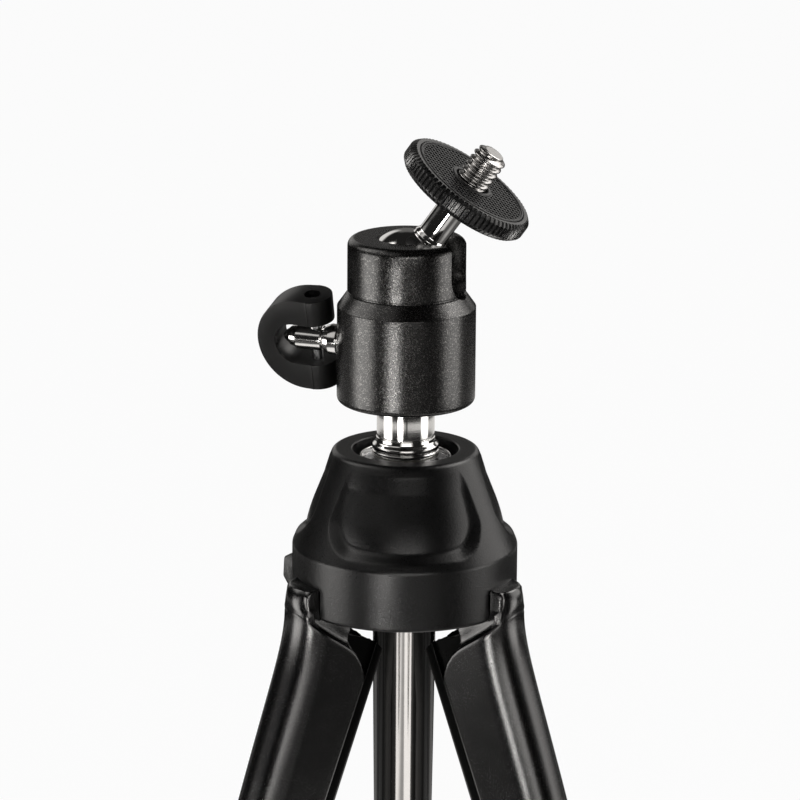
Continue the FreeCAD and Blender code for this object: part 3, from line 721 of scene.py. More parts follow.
def evaluated(mesh: bpy.types.Mesh, dress: Callable[[bpy.types.Object], None]) -> bpy.types.Mesh:
    """The mesh after modifiers.

    Args:
        mesh: The starting mesh.
        dress: Adds the modifiers to the object that holds it.

    Returns:
        A plain mesh of the result.
    """
    holder = linked("holder", mesh)
    dress(holder)
    graph = bpy.context.evaluated_depsgraph_get()
    result = bpy.data.meshes.new_from_object(holder.evaluated_get(graph))
    bpy.data.objects.remove(holder)
    return result


class Join(Enum):
    """How one body is joined to another."""

    CUT = "DIFFERENCE"
    COMMON = "INTERSECT"


def combined(mesh: bpy.types.Mesh, other: bpy.types.Mesh, way: Join = Join.CUT) -> bpy.types.Mesh:
    """Exact boolean of two closed meshes.

    Args:
        mesh: The first body.
        other: The second body.
        way: Whether the second is cut away, or only what both share is kept.

    Returns:
        A plain mesh of the result.
    """
    tool = linked("tool", other)

    def dress(holder: bpy.types.Object) -> None:
        """Add the boolean."""
        modifier = holder.modifiers.new("join", "BOOLEAN")
        modifier.operation, modifier.solver, modifier.object = way.value, "EXACT", tool

    result = evaluated(mesh, dress)
    bpy.data.objects.remove(tool)
    return result


def softened(mesh: bpy.types.Mesh, width: float, angle: float) -> bpy.types.Mesh:
    """The mesh with its sharp edges bevelled.

    Args:
        mesh: A closed mesh.
        width: Width of the bevel.
        angle: Edges sharper than this many degrees are bevelled.

    Returns:
        The same mesh.
    """
    work = bmesh.new()
    work.from_mesh(mesh)
    bmesh.ops.remove_doubles(work, verts=work.verts, dist=10 * WELD)
    sharp = [edge for edge in work.edges
             if len(edge.link_faces) == 2 and edge.calc_face_angle(0.0) > math.radians(angle)]
    bmesh.ops.bevel(work, geom=sharp, offset=width, segments=2, profile=0.5, affect="EDGES",
                    clamp_overlap=True)
    work.to_mesh(mesh)
    work.free()
    return mesh


def distance_inside(x: np.ndarray, z: np.ndarray, outline: Sequence[Point]) -> np.ndarray:
    """Distance of points from a closed outline, positive inside it.

    Args:
        x: First coordinates.
        z: Second coordinates.
        outline: Points of the outline.

    Returns:
        The distance of each point.
    """
    nearest = np.full(x.shape, 1e9)
    inside = np.zeros(x.shape, bool)
    for (x0, z0), (x1, z1) in zip(outline, [*outline[1:], outline[0]]):
        dx, dz = x1 - x0, z1 - z0
        share = np.clip(((x - x0) * dx + (z - z0) * dz) / max(dx * dx + dz * dz, 1e-9), 0, 1)
        nearest = np.minimum(nearest, np.hypot(x - x0 - share * dx, z - z0 - share * dz))
        if dz:
            inside ^= ((z0 > z) != (z1 > z)) & (x < dx * (z - z0) / dz + x0)
    return np.where(inside, nearest, -nearest)


def soft_least(a: np.ndarray, b: np.ndarray, blend: float) -> np.ndarray:
    """The smaller of two values, with a rounded change-over."""
    share = np.clip(0.5 + 0.5 * (b - a) / blend, 0, 1)
    return b + (a - b) * share - blend * share * (1 - share)


# Geometry trees

class Tree:
    """A geometry tree with named inputs, whose result is real and wears one finish."""

    KINDS = {float: "NodeSocketFloat", int: "NodeSocketInt"}

    def __init__(self, name: str, sizes: dict[str, Union[float, int]]) -> None:
        """Build the tree.

        Args:
            name: Name of the tree.
            sizes: Named inputs with their values.
        """
        tree = bpy.data.node_groups.new(name, "GeometryNodeTree")
        face = tree.interface
        face.new_socket("Geometry", in_out="INPUT", socket_type="NodeSocketGeometry")
        for label, value in sizes.items():
            face.new_socket(label, in_out="INPUT", socket_type=self.KINDS[type(value)])
        face.new_socket("Finish", in_out="INPUT", socket_type="NodeSocketMaterial")
        face.new_socket("Geometry", in_out="OUTPUT", socket_type="NodeSocketGeometry")
        self.tree, self.sizes = tree, sizes
        self.graph = Graph(tree)
        self.given = self.graph.node("NodeGroupInput")
        shape = self.shape(self.given.out("Geometry"))
        real = self.graph.node("GeometryNodeRealizeInstances", inputs={"Geometry": shape})
        dressed = self.graph.node("GeometryNodeSetMaterial",
                                  inputs={"Geometry": real, "Material": self.given.out("Finish")})
        self.graph.node("NodeGroupOutput", inputs={"Geometry": dressed})

    def shape(self, source: Signal) -> Signal:
        """Wire the tree's own form from the geometry that it is given."""
        raise NotImplementedError

    def position(self) -> tuple[Signal, Signal, Signal, Signal]:
        """The point's x, y and z, and its distance from the axis."""
        x, y, z = self.graph.axes(self.graph.node("GeometryNodeInputPosition"))
        return x, y, z, (x * x + y * y).alone("SQRT")

    def applied(self, mesh: bpy.types.Mesh, finish: bpy.types.Material) -> bpy.types.Mesh:
        """Run the tree on a mesh.

        Args:
            mesh: The geometry that the tree is given.
            finish: The material of the result.

        Returns:
            A plain mesh.
        """
        def dress(holder: bpy.types.Object) -> None:
            """Add the tree and set its inputs by identifier."""
            modifier = holder.modifiers.new("tree", "NODES")
            modifier.node_group = self.tree
            values = {**self.sizes, "Finish": finish}
            for item in self.tree.interface.items_tree:
                if item.in_out == "INPUT" and item.name in values:
                    modifier[item.identifier] = values[item.name]

        return evaluated(mesh, dress)


class Relief(Enum):
    """The repeated forms that can be sunk into a turned body."""

    RIBS = "ribs"
    THREAD = "thread"
    RINGS = "rings"


class SunkRelief(Tree):
    """Grooves sunk towards the axis of a turned body."""

    def __init__(self, name: str, kind: Relief, sizes: dict[str, Union[float, int]]) -> None:
        """Choose the form, then build the tree.

        Args:
            name: Name of the tree.
            kind: The repeated form.
            sizes: Count or Pitch, Depth, Low, High, Fade at the ends, and Core, the radius that
                the form doesn't reach.
        """
        self.kind = kind
        super().__init__(name, sizes)

    def groove(self, angle: Signal, height: Signal) -> Signal:
        """Share of the full depth at an angle and a height.

        Args:
            angle: Azimuth in radians.
            height: Height in millimetres.

        Returns:
            0 on the crests, 1 in the grooves.
        """
        turnings = angle / (2 * math.pi)
        if self.kind is Relief.RIBS:
            wave = (turnings * (self.given.out("Count") * (2 * math.pi))).alone("COSINE")
            return wave.ramp(-0.80, -0.15)
        along = height / self.given.out("Pitch")
        if self.kind is Relief.RINGS:
            return ((along * (2 * math.pi)).alone("COSINE") * 0.5 + 0.5) ** 1.5
        phase = (along - turnings).alone("FRACT")
        flank = (phase - 0.5).alone("ABSOLUTE") * 2
        return flank.ramp(0.05, 0.95)

    def shape(self, source: Signal) -> Signal:
        """Move every point inwards by the groove's depth where the form runs.

        Args:
            source: The turned body.

        Returns:
            The body with its grooves.
        """
        graph, given = self.graph, self.given
        x, y, z, radius = self.position()
        low, high, fade, core = (given.out(name) for name in ("Low", "High", "Fade", "Core"))
        ends = z.ramp(low, low + fade) * (1 - z.ramp(high - fade, high))
        run = ends * radius.ramp(core, core + 0.25)
        sunk = self.groove(y.arctangent(x), z) * run * given.out("Depth")
        scale = 1 - sunk / radius.at_least(0.5)
        place = graph.node("ShaderNodeCombineXYZ", inputs={0: x * scale, 1: y * scale, 2: z})
        return graph.node("GeometryNodeSetPosition", inputs={"Geometry": source,
                                                             "Position": place})


class PitField(Tree):
    """Copies of one pit on a square lattice inside a ring."""

    def shape(self, source: Signal) -> Signal:
        """Set the given pit on every lattice point between two radii.

        Args:
            source: One pit.

        Returns:
            All the pits, as instances.
        """
        graph, given = self.graph, self.given
        count, pitch = given.out("Count"), given.out("Pitch")
        size = (count - 1) * pitch
        grid = graph.node("GeometryNodeMeshGrid", inputs={
            "Size X": size, "Size Y": size, "Vertices X": count, "Vertices Y": count})
        *_, radius = self.position()
        outside, inside = (
            graph.node("FunctionNodeCompare", {"data_type": "FLOAT", "operation": operation},
                       {0: radius, 1: given.out(limit)})
            for operation, limit in (("GREATER_THAN", "Outer"), ("LESS_THAN", "Inner")))
        either = graph.node("FunctionNodeBooleanMath", {"operation": "OR"},
                            {0: outside, 1: inside})
        kept = graph.node("GeometryNodeDeleteGeometry", {"domain": "POINT"},
                          {"Geometry": grid, "Selection": either})
        points = graph.node("GeometryNodeMeshToPoints", inputs={"Mesh": kept})
        return graph.node("GeometryNodeInstanceOnPoints",
                          inputs={"Points": points, "Instance": source})


# Putting pieces on the tripod

@dataclass
class Assembly:
    """Pieces that are drawn in one place of the tripod."""

    stance: Stance
    place: Place

    def install(self, name: str, mesh: bpy.types.Mesh, finish: Finish, body: str, node: str,
                crease: float = 34.0) -> None:
        """Set a finished mesh in its place, and let it ride and stand for its solid.

        Args:
            name: Name of the piece.
            mesh: Its mesh, in the place's frame.
            finish: What it wears.
            body: The body that carries it.
            node: The solid that it stands for.
            crease: Edges sharper than this many degrees stay sharp.
        """
        mesh.transform(self.place.matrix)
        mesh.shade_smooth()
        mesh.set_sharp_from_angle(angle=math.radians(crease))
        mesh.materials.clear()
        mesh.materials.append(finish.material(self.place))
        mesh.name = name
        piece = linked(name, mesh)
        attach(piece, body)
        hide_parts(node)
        LOG.info("%-22s %6d faces on %s", name, len(mesh.polygons), body)

    def wear(self, finish: Finish, *nodes: str) -> None:
        """Give solids that stay visible their finish.

        Args:
            finish: What they wear.
            nodes: Names of the solids.
        """
        for node in nodes:
            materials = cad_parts[node].data.materials
            materials.clear()
            materials.append(finish.material(self.place))
            LOG.info("%-22s kept, wears %s", node, finish.name)


# The hub

@dataclass
class Hub(Assembly):
    """The moulded hub, its bearing, the column and the column lever."""

    top_radius: float = 13.64
    skirt_radius: float = 21.3
    cone_height: float = 18.4
    height: float = 29.8
    wall: float = 2.2
    recess_radius: float = 9.95
    recess_depth: float = 3.2
    barrel_radius: float = 8.05
    ceiling_drop: float = 5.6
    panel_slope: float = 0.75
    panel_step: float = 0.3
    panel_lean: float = 0.23
    panel_start: float = 1.5
    panel_groove: float = 0.6
    panel_azimuths: tuple[float, float, float] = (270.0, 30.0, 150.0)
    panel_outline: tuple[Corner, ...] = (
        (-10.4, 1.5, 0), (-14.5, 11.8, 6.0), (-13.3, 16.8, 3.6),
        (13.3, 16.8, 3.6), (14.5, 11.8, 6.0), (10.4, 1.5, 0))
    notch_half: float = 4.55
    notch_top: float = -23.8
    lever_azimuth: float = 150.0
    lever_half: float = 3.9
    ring_radii: tuple[float, float, float] = (6.95, 7.35, 7.75)
    steps: int = 540

    def panel_depth(self, angle: np.ndarray, radius: np.ndarray,
                    height: np.ndarray) -> np.ndarray:
        """How far the three shield panels are sunk into the cone.

        Args:
            angle: Azimuths in radians.
            radius: Radii of the plain shell.
            height: Heights.

        Returns:
            The depth at each point.
        """
        outline = rounded(self.panel_outline)
        drop = -height
        cone = self.top_radius + (self.skirt_radius - self.top_radius) * drop / self.cone_height
        shift = self.panel_lean * np.maximum(drop - self.panel_start, 0)
        fade = np.clip((drop - self.panel_start) / 3.5, 0, 1)
        groove = self.panel_groove * np.clip((drop - 9.5) / 6.0, 0, 1) ** 2
        outer = ((height < -0.9) & (radius > self.top_radius - 0.2)
                 & (height > -self.cone_height))
        total = np.zeros_like(radius)
        for azimuth in self.panel_azimuths:
            off = (angle - math.radians(azimuth) + math.pi) % (2 * math.pi) - math.pi
            floor = cone - self.panel_step - shift
            reach = shift * np.cos(off) + np.sqrt(floor ** 2 - (shift * np.sin(off)) ** 2)
            depth = (np.maximum(cone - reach, 0) + groove) * fade
            near = distance_inside(radius * np.sin(off), drop, outline)
            wall = np.maximum(-soft_least(-near * self.panel_slope, np.zeros_like(near), 0.12), 0)
            sunk = np.clip(soft_least(depth, wall, 0.45), 0, None)
            total += np.where(outer & (np.abs(off) < 1.2), sunk, 0)
        return total

    def shell(self) -> None:
        """The shell: a cone with three sunk panels, three leg notches and the lever's window."""
        inner, crown = self.skirt_radius - self.wall, self.top_radius - 2.6
        skin = rounded([(crown, 0, 0), (self.top_radius, 0, 1.2),
                        (self.skirt_radius, -self.cone_height, 2.2),
                        (self.skirt_radius, -self.height, 0.6),
                        (inner, -self.height, 0)], closed=False, steps=8)
        hollow = rounded([(inner, -self.height, 0), (inner, -self.cone_height - 0.6, 0.5),
                          (16.9, -17.0, 0.5), (12.1, -self.ceiling_drop, 1.0),
                          (self.barrel_radius, -self.ceiling_drop, 0),
                          (self.barrel_radius, -self.recess_depth, 0),
                          (self.recess_radius, -self.recess_depth, 0.3),
                          (self.recess_radius, 0, 0.35), (crown, 0, 0)], closed=False, steps=4)
        outline = [*resampled(skin, 0.27, False), *resampled(hollow, 3.0, False)[1:-1]]
        mesh = turned(outline, self.steps, self.panel_depth)
        half, top, low, beyond = self.notch_half, self.notch_top, -self.height, -34.0
        notch = rounded([(-half, top, 0.6), (half, top, 0.6), (half, low, 1.4), (8.0, low, 0),
                         (8.0, beyond, 0), (-8.0, beyond, 0), (-8.0, low, 0), (-half, low, 1.4)])
        window = rounded([(-4.25, -21.0, 0.6), (4.25, -21.0, 0.6), (4.25, beyond, 0),
                          (-4.25, beyond, 0)])
        for azimuth in LEG_AZIMUTHS:
            mesh = combined(mesh, moved(plate(notch, 12.6, 26.0), turn(azimuth - 90)))
        mesh = combined(mesh, moved(plate(window, 14.6, 26.0), turn(self.lever_azimuth - 90)))
        self.install("hub_shell_skin", mesh, HUB_PLASTIC, "hub", "hub_shell", crease=40)

    def bearing(self) -> None:
        """The thin cup and the stepped spring washer round the flange."""
        cup = rounded([(6.6, -3.2, 0), (8.65, -3.2, 0.3), (8.65, -1.3, 0.12), (8.3, -1.3, 0.12),
                       (8.3, -2.85, 0.2), (6.6, -2.85, 0)], steps=4)
        self.install("bearing_cup_ring", turned(cup, 160), CHROME, "hub", "bearing_cup")
        ridges: list[Corner] = [(6.65, -2.85, 0), (6.65, -2.5, 0.1)]
        for radius in self.ring_radii:
            ridges += [(radius - 0.1, -2.5, 0.04), (radius - 0.08, -2.12, 0.05),
                       (radius + 0.08, -2.12, 0.05), (radius + 0.1, -2.5, 0.04)]
        ridges += [(8.15, -2.5, 0.1), (8.15, -2.85, 0)]
        self.install("wave_washer_ring", turned(rounded(ridges, steps=3), 160), STEEL, "hub",
                     "wave_washer")

    def column(self) -> None:
        """The plated column with its waisted flange, which carries the head."""
        outline = rounded([
            (0, 14.6, 0), (3.1, 14.6, 0.4), (3.1, 9.2, 0), (5.45, 9.2, 0.1), (5.45, 2.6, 0.05),
            (5.32, 2.5, 0.05), (5.55, 2.35, 0.08), (5.6, 1.6, 0.8), (6.25, 0.95, 0.3),
            (6.3, 0.25, 0.15), (6.1, 0.1, 0.06), (6.1, -0.05, 0.06), (6.3, -0.2, 0.15),
            (6.3, -1.5, 0.8), (5.5, -2.2, 0.4), (4.6, -3.1, 0.3), (4.6, -31.5, 0),
            (0, -31.5, 0)])
        self.install("centre_column_turned", turned(resampled(outline, 4.0), 160), CHROME, "head",
                     "centre_column")

    def lever(self) -> None:
        """The cam lever that clamps the column."""
        outline = rounded([
            (19.9, -24.9, 0.3), (22.2, -23.1, 0.5), (24.5, -24.4, 0.8), (24.7, -28.2, 0.8),
            (23.4, -30.2, 0.8), (23.1, -32.3, 0.6), (22.4, -33.0, 0.3), (21.7, -33.0, 0.3),
            (21.6, -29.25, 0.5), (18.9, -29.25, 0.5)], steps=4)
        body = softened(plate(outline, -self.lever_half, self.lever_half), 0.35, 40.0)
        self.install("column_lever_body", moved(body, turn(self.lever_azimuth)), HUB_PLASTIC,
                     "lever", "column_lever")

    def build(self) -> None:
        """Everything that stays with the hub, and the column."""
        self.shell()
        self.bearing()
        self.column()
        self.lever()
        self.wear(HUB_PLASTIC, "hub_core")
        self.wear(BEARING_ACETAL, "column_bushing", "hinge_washers", "clamp_shoe")
        self.wear(STEEL, "hinge_pins", "core_screws", "lever_pin", "column_washer",
                  "column_screw")


# The head

@dataclass
class Head(Assembly):
    """The slotted ball housing and what is inside it."""

    neck_radius: float = 11.1
    neck_height: float = 10.4
    groove: float = 0.28
    shoulder: float = 2.6
    radius: float = 13.0
    mouth_radius: float = 5.6
    socket_radius: float = 7.98
    plug_radius: float = 9.4
    plug_height: float = 6.1
    slot_azimuth: float = -19.0
    slot_width: float = 8.6
    slot_depth: float = 10.9

    def outline(self) -> list[Point]:
        """Half outline of the housing: its outside, then its bore and socket."""
        ball, socket, mouth = -self.stance.ball_drop, self.socket_radius, self.mouth_radius
        lip = ball + math.sqrt(socket ** 2 - mouth ** 2)
        low, foot, waist = -self.stance.housing_height, -self.neck_height, self.neck_radius
        corners = rounded([
            (mouth, 0, 0.3), (waist, 0, 1.5), (waist, 0.45 + foot, 0.08),
            (waist - self.groove, 0.3 + foot, 0.08), (waist - self.groove, 0.02 + foot, 0.08),
            (waist + 0.08, foot - 0.07, 0.06), (self.radius, foot - self.shoulder, 0.3),
            (self.radius, low, 1.1), (self.plug_radius, low, 0.3),
            (self.plug_radius, low + self.plug_height, 0), (socket, low + self.plug_height, 0),
            (socket, ball, 0)], closed=False, steps=8)
        start = math.asin(mouth / socket)
        arc = [(socket * math.sin(a), ball + socket * math.cos(a))
               for a in (math.pi / 2 + (start - math.pi / 2) * i / 10 for i in range(1, 10))]
        corners[0] = (mouth, -0.05)
        return resampled([*corners, *arc, (mouth, lip)], 2.5)

    def housing(self) -> None:
        """The housing with its drop slot and the spindle's bore."""
        mesh = turned(self.outline(), 144)
        half, axis = self.slot_width / 2, -self.slot_depth + self.slot_width / 2
        arc = [(half * math.cos(a), axis + half * math.sin(a))
               for a in (math.pi + math.pi * i / 24 for i in range(25))]
        slot = plate([(-half, 3.0), *arc, (half, 3.0)], 0.0, 16.0)
        mesh = combined(mesh, moved(slot, turn(self.slot_azimuth - 90)))
        bore = turned([(0, 0), (2.45, 0), (2.45, 11.7), (2.7, 12.1), (4.1, 13.4), (4.1, 16),
                       (0, 16)], 64)
        for step in (turn(90, Axis.Y), turn(self.stance.spindle_azimuth),
                     move(0, 0, -self.stance.spindle_drop)):
            bore.transform(step)
        mesh = combined(mesh, bore)
        self.install("head_housing_turned", mesh, HEAD_METAL, "head", "head_housing")

    def build(self) -> None:
        """The housing and the parts inside it."""
        self.housing()
        self.wear(HEAD_METAL, "base_plug")
        self.wear(DARK_ACETAL, "ball_seat")
        self.wear(STEEL, "plunger")


# Ball, screw and platform

@dataclass
class Platform(Assembly):
    """The ball with its stem, the camera screw, the finger wheel and the rubber pad."""

    ball_radius: float = 7.9
    stem_radius: float = 2.85
    stem_length: float = 17.6
    wheel_radius: float = 13.3
    wheel_top: float = 21.4
    wheel_bore: float = 2.95
    pad_floor: float = 20.55
    pad_radius: float = 11.6
    pad_top: float = 21.55
    screw_radius: float = 3.175
    screw_top: float = 28.45
    spigot_low: float = 11.6
    spigot_radius: float = 1.6
    thread_pitch: float = 1.27
    thread_depth: float = 0.62
    rib_count: int = 76
    rib_steps: int = 12
    rib_depth: float = 0.40
    pit_count: int = 27
    pit_pitch: float = 0.93
    pit_depth: float = 0.70

    def ball(self) -> None:
        """The ball and its stem, turned in one piece."""
        arc = [(self.ball_radius * math.sin(a), -self.ball_radius * math.cos(a))
               for a in (math.radians(2.7 * i) for i in range(58))]
        neck = rounded([(*arc[-1], 0), (3.3, 7.25, 0.2), (3.3, 7.9, 0.25),
                        (self.stem_radius, 8.6, 0.4), (self.stem_radius, self.stem_length, 0),
                        (0, self.stem_length, 0)], closed=False)
        outline = [(0.0, -self.ball_radius), *arc[1:-1], *resampled(neck, 2.5, False)]
        self.install("ball_stem_turned", turned(outline, 160), CHROME, "ball", "ball_stem")

    def screw(self) -> None:
        """The camera screw with its thread."""
        low, top = self.pad_top - 0.4, self.screw_top
        wide, foot = self.screw_radius, self.stem_length
        outline = rounded([(0, self.spigot_low, 0), (self.spigot_radius, self.spigot_low, 0),
                           (self.spigot_radius, foot, 0), (2.9, foot, 0), (2.9, low, 0),
                           (wide, low + 0.3, 0), (wide, top - 0.9, 0.3), (2.2, top, 0.3),
                           (0, top, 0)], steps=4)
        thread = SunkRelief("screw_thread", Relief.THREAD, {
            "Pitch": self.thread_pitch, "Depth": self.thread_depth, "Low": low,
            "High": top + 0.5, "Fade": 0.5, "Core": 1.9})
        body = thread.applied(turned(resampled(outline, 0.085), 192),
                              SCREW_CHROME.material(self.place))
        self.install("camera_screw_thread", body, SCREW_CHROME, "ball", "camera_screw",
                     crease=80)

    def wheel(self) -> None:
        """The finger wheel with its straight ribs."""
        bore, rim, low, top = self.wheel_bore, self.wheel_radius, self.stem_length, self.wheel_top
        outline = rounded([(bore, low, 0), (rim - 0.8, low, 0.3), (rim, low + 0.8, 0.4),
                           (rim, top - 0.75, 0.4), (rim - 0.75, top, 0.3),
                           (self.pad_radius, top, 0.15), (self.pad_radius, self.pad_floor, 0),
                           (bore, self.pad_floor, 0)], steps=4)
        ribs = SunkRelief("wheel_ribs", Relief.RIBS, {
            "Count": float(self.rib_count), "Depth": self.rib_depth, "Low": low - 2.0,
            "High": top + 2.0, "Fade": 0.5, "Core": rim - 0.95})
        body = ribs.applied(turned(resampled(outline, 0.8), self.rib_count * self.rib_steps),
                            WHEEL_PLASTIC.material(self.place))
        self.install("platform_wheel_ribbed", body, WHEEL_PLASTIC, "wheel", "platform_wheel",
                     crease=50)

    def pad(self) -> None:
        """The pad, with a lattice of square pits inside its border."""
        top, rim, low, base = self.pad_top, self.pad_radius - 0.08, self.pad_top - 0.22, 20.6
        outline = rounded([(3.525, base, 0), (rim, base, 0), (rim, top, 0.2), (11.1, top, 0.08),
                           (10.95, low, 0.05), (4.3, low, 0.05), (4.2, top, 0.08),
                           (3.525, top, 0.15)], steps=4)
        half, foot = self.pit_pitch / 2 - 0.10, self.pit_pitch / 2 - 0.14
        pit = skinned([[(sx * s, sy * s, z) for sx, sy in ((-1, -1), (1, -1), (1, 1), (-1, 1))]
                       for s, z in ((foot, low - self.pit_depth), (half, low), (half, low + 0.3))])
        lattice = PitField("pit_field", {"Count": self.pit_count, "Pitch": self.pit_pitch,
                                         "Outer": 11.3, "Inner": 3.8})
        pits = lattice.applied(pit, PAD_RUBBER.material(self.place))
        border = turned([(4.45, top - 1), (10.8, top - 1), (10.8, top + 1), (4.45, top + 1)], 120)
        pits = combined(moved(pits, turn(45.0)), border, Join.COMMON)
        self.install("rubber_pad_waffle", combined(turned(outline, 160), pits), PAD_RUBBER,
                     "wheel", "rubber_pad")

    def build(self) -> None:
        """Everything that tilts with the ball."""
        self.ball()
        self.screw()
        self.wheel()
        self.pad()


# Lock spindle and wing

@dataclass
class Lock(Assembly):
    """The clamp spindle and its folding wing."""

    pin_reach: float = 18.0
    centre: float = 19.7
    outer: float = 9.2
    inner: float = 4.1
    slot_end: float = 25.2
    boss: float = 3.8
    rim_half: float = 2.6
    edge: float = 0.16
    seam: tuple[float, ...] = (-0.16, -0.07, 0.0, 0.07, 0.16)
    arm_stops: tuple[float, ...] = (18.6, 19.1)
    hole_radius: float = 1.06
    recess_radius: float = 1.6
    recess_floor: float = 8.0
    reach: float = 9.8

    def spindle(self) -> None:
        """The turned spindle with its domed and stepped head."""
        outline = rounded([
            (0, 3.2, 0), (0.8, 3.2, 0), (2.4, 6.0, 0), (2.4, 13.2, 0), (2.9, 13.2, 0.2),
            (2.9, 14.9, 0.25), (2.55, 16.0, 0.2), (1.9, 16.0, 0), (1.9, 16.5, 0),
            (2.4, 16.5, 0.15), (2.4, 21.5, 0.1), (2.2, 21.75, 0.1), (1.85, 22.9, 0.1),
            (1.55, 23.2, 0.1), (0.9, 24.1, 0.35), (0, 24.7, 0)], steps=4)
        body = moved(turned(resampled(outline, 2.0), 112), turn(90, Axis.Y))
        hole = moved(rod(1.0, -5, 5, 32), move(self.pin_reach, 0, 0))
        self.install("lock_spindle_turned", combined(body, hole), SPINDLE_CHROME, "spindle",
                     "lock_spindle")

    def half_depth(self, x: float) -> float:
        """Half the wing's thickness at a distance from the column axis.

        Args:
            x: The distance.

        Returns:
            The round boss's half depth up to the pin, then a straight taper to the rim's.
        """
        beyond = x - self.pin_reach
        if beyond < 0:
            return math.sqrt(max(self.boss ** 2 - beyond ** 2, 0.0))
        share = beyond / (self.centre + self.outer + 1 - self.pin_reach)
        return self.boss + (self.rim_half - self.boss) * share

    def station(self, outer: Point, inner: Point) -> list[Spot]:
        """One rounded cross-section of the wing.

        Args:
            outer: (x, z) on its outer edge.
            inner: (x, z) on its inner edge.

        Returns:
            The ring's points.
        """
        ring = []
        away = Vector(outer) - Vector(inner)
        wide = away.length
        for x_side, y_side in ((1, 1), (1, -1), (-1, -1), (-1, 1)):
            for step in range(5):
                angle = math.radians(90 * step / 4)
                along, across = math.sin(angle), math.cos(angle)
                if x_side * y_side < 0:
                    along, across = across, along
                share = (wide / 2 + x_side * (wide / 2 - self.edge * (1 - along))) / wide
                x, z = Vector(inner) + away * share
                half = self.half_depth(x)
                soft = min(self.edge, half * 0.9)
                ring.append((x, y_side * (half - soft * (1 - across)), z))
        if abs(outer[0] - self.pin_reach) < 0.1:
            return [(x, y * (1 + 0.02 * (1 - abs(x - self.pin_reach) / 0.1)), z)
                    for x, y, z in ring]
        return ring

    def wing(self) -> None:
        """The C-shaped wing, drawn along its middle line from one arm to the other."""
        start = self.pin_reach - self.boss + 0.002
        arm = sorted({*(start + (self.pin_reach - start) * (1 - math.cos(math.pi / 2 * i / 12))
                        for i in range(12)),
                      *(self.pin_reach + s for s in self.seam), *self.arm_stops, self.centre})
        bend = self.slot_end - self.inner
        upper = [((x, self.outer), (min(x, bend), self.inner)) for x in arm]
        lower = [((x, -z), (inner_x, -inner_z)) for (x, z), (inner_x, inner_z) in upper]
        turns = [math.radians(90 - 180 * step / 48) for step in range(1, 48)]
        rim = [((self.centre + self.outer * math.cos(a), self.outer * math.sin(a)),
                (bend + self.inner * math.cos(a), self.inner * math.sin(a))) for a in turns]
        mesh = skinned([self.station(*ends) for ends in (*upper, *rim, *reversed(lower))])
        for radius, low, high in ((self.recess_radius, -self.reach, -self.recess_floor),
                                  (self.recess_radius, self.recess_floor, self.reach),
                                  (self.hole_radius, -self.reach, self.reach)):
            hole = moved(rod(radius, low, high, 40), move(self.pin_reach, 0, 0))
            mesh = combined(mesh, hole)
        self.install("lock_wing_body", mesh, WING_PLASTIC, "wing", "lock_wing")

    def build(self) -> None:
        """The spindle, the wing and its pin."""
        self.spindle()
        self.wing()
        self.wear(STEEL, "wing_pin")


# Legs

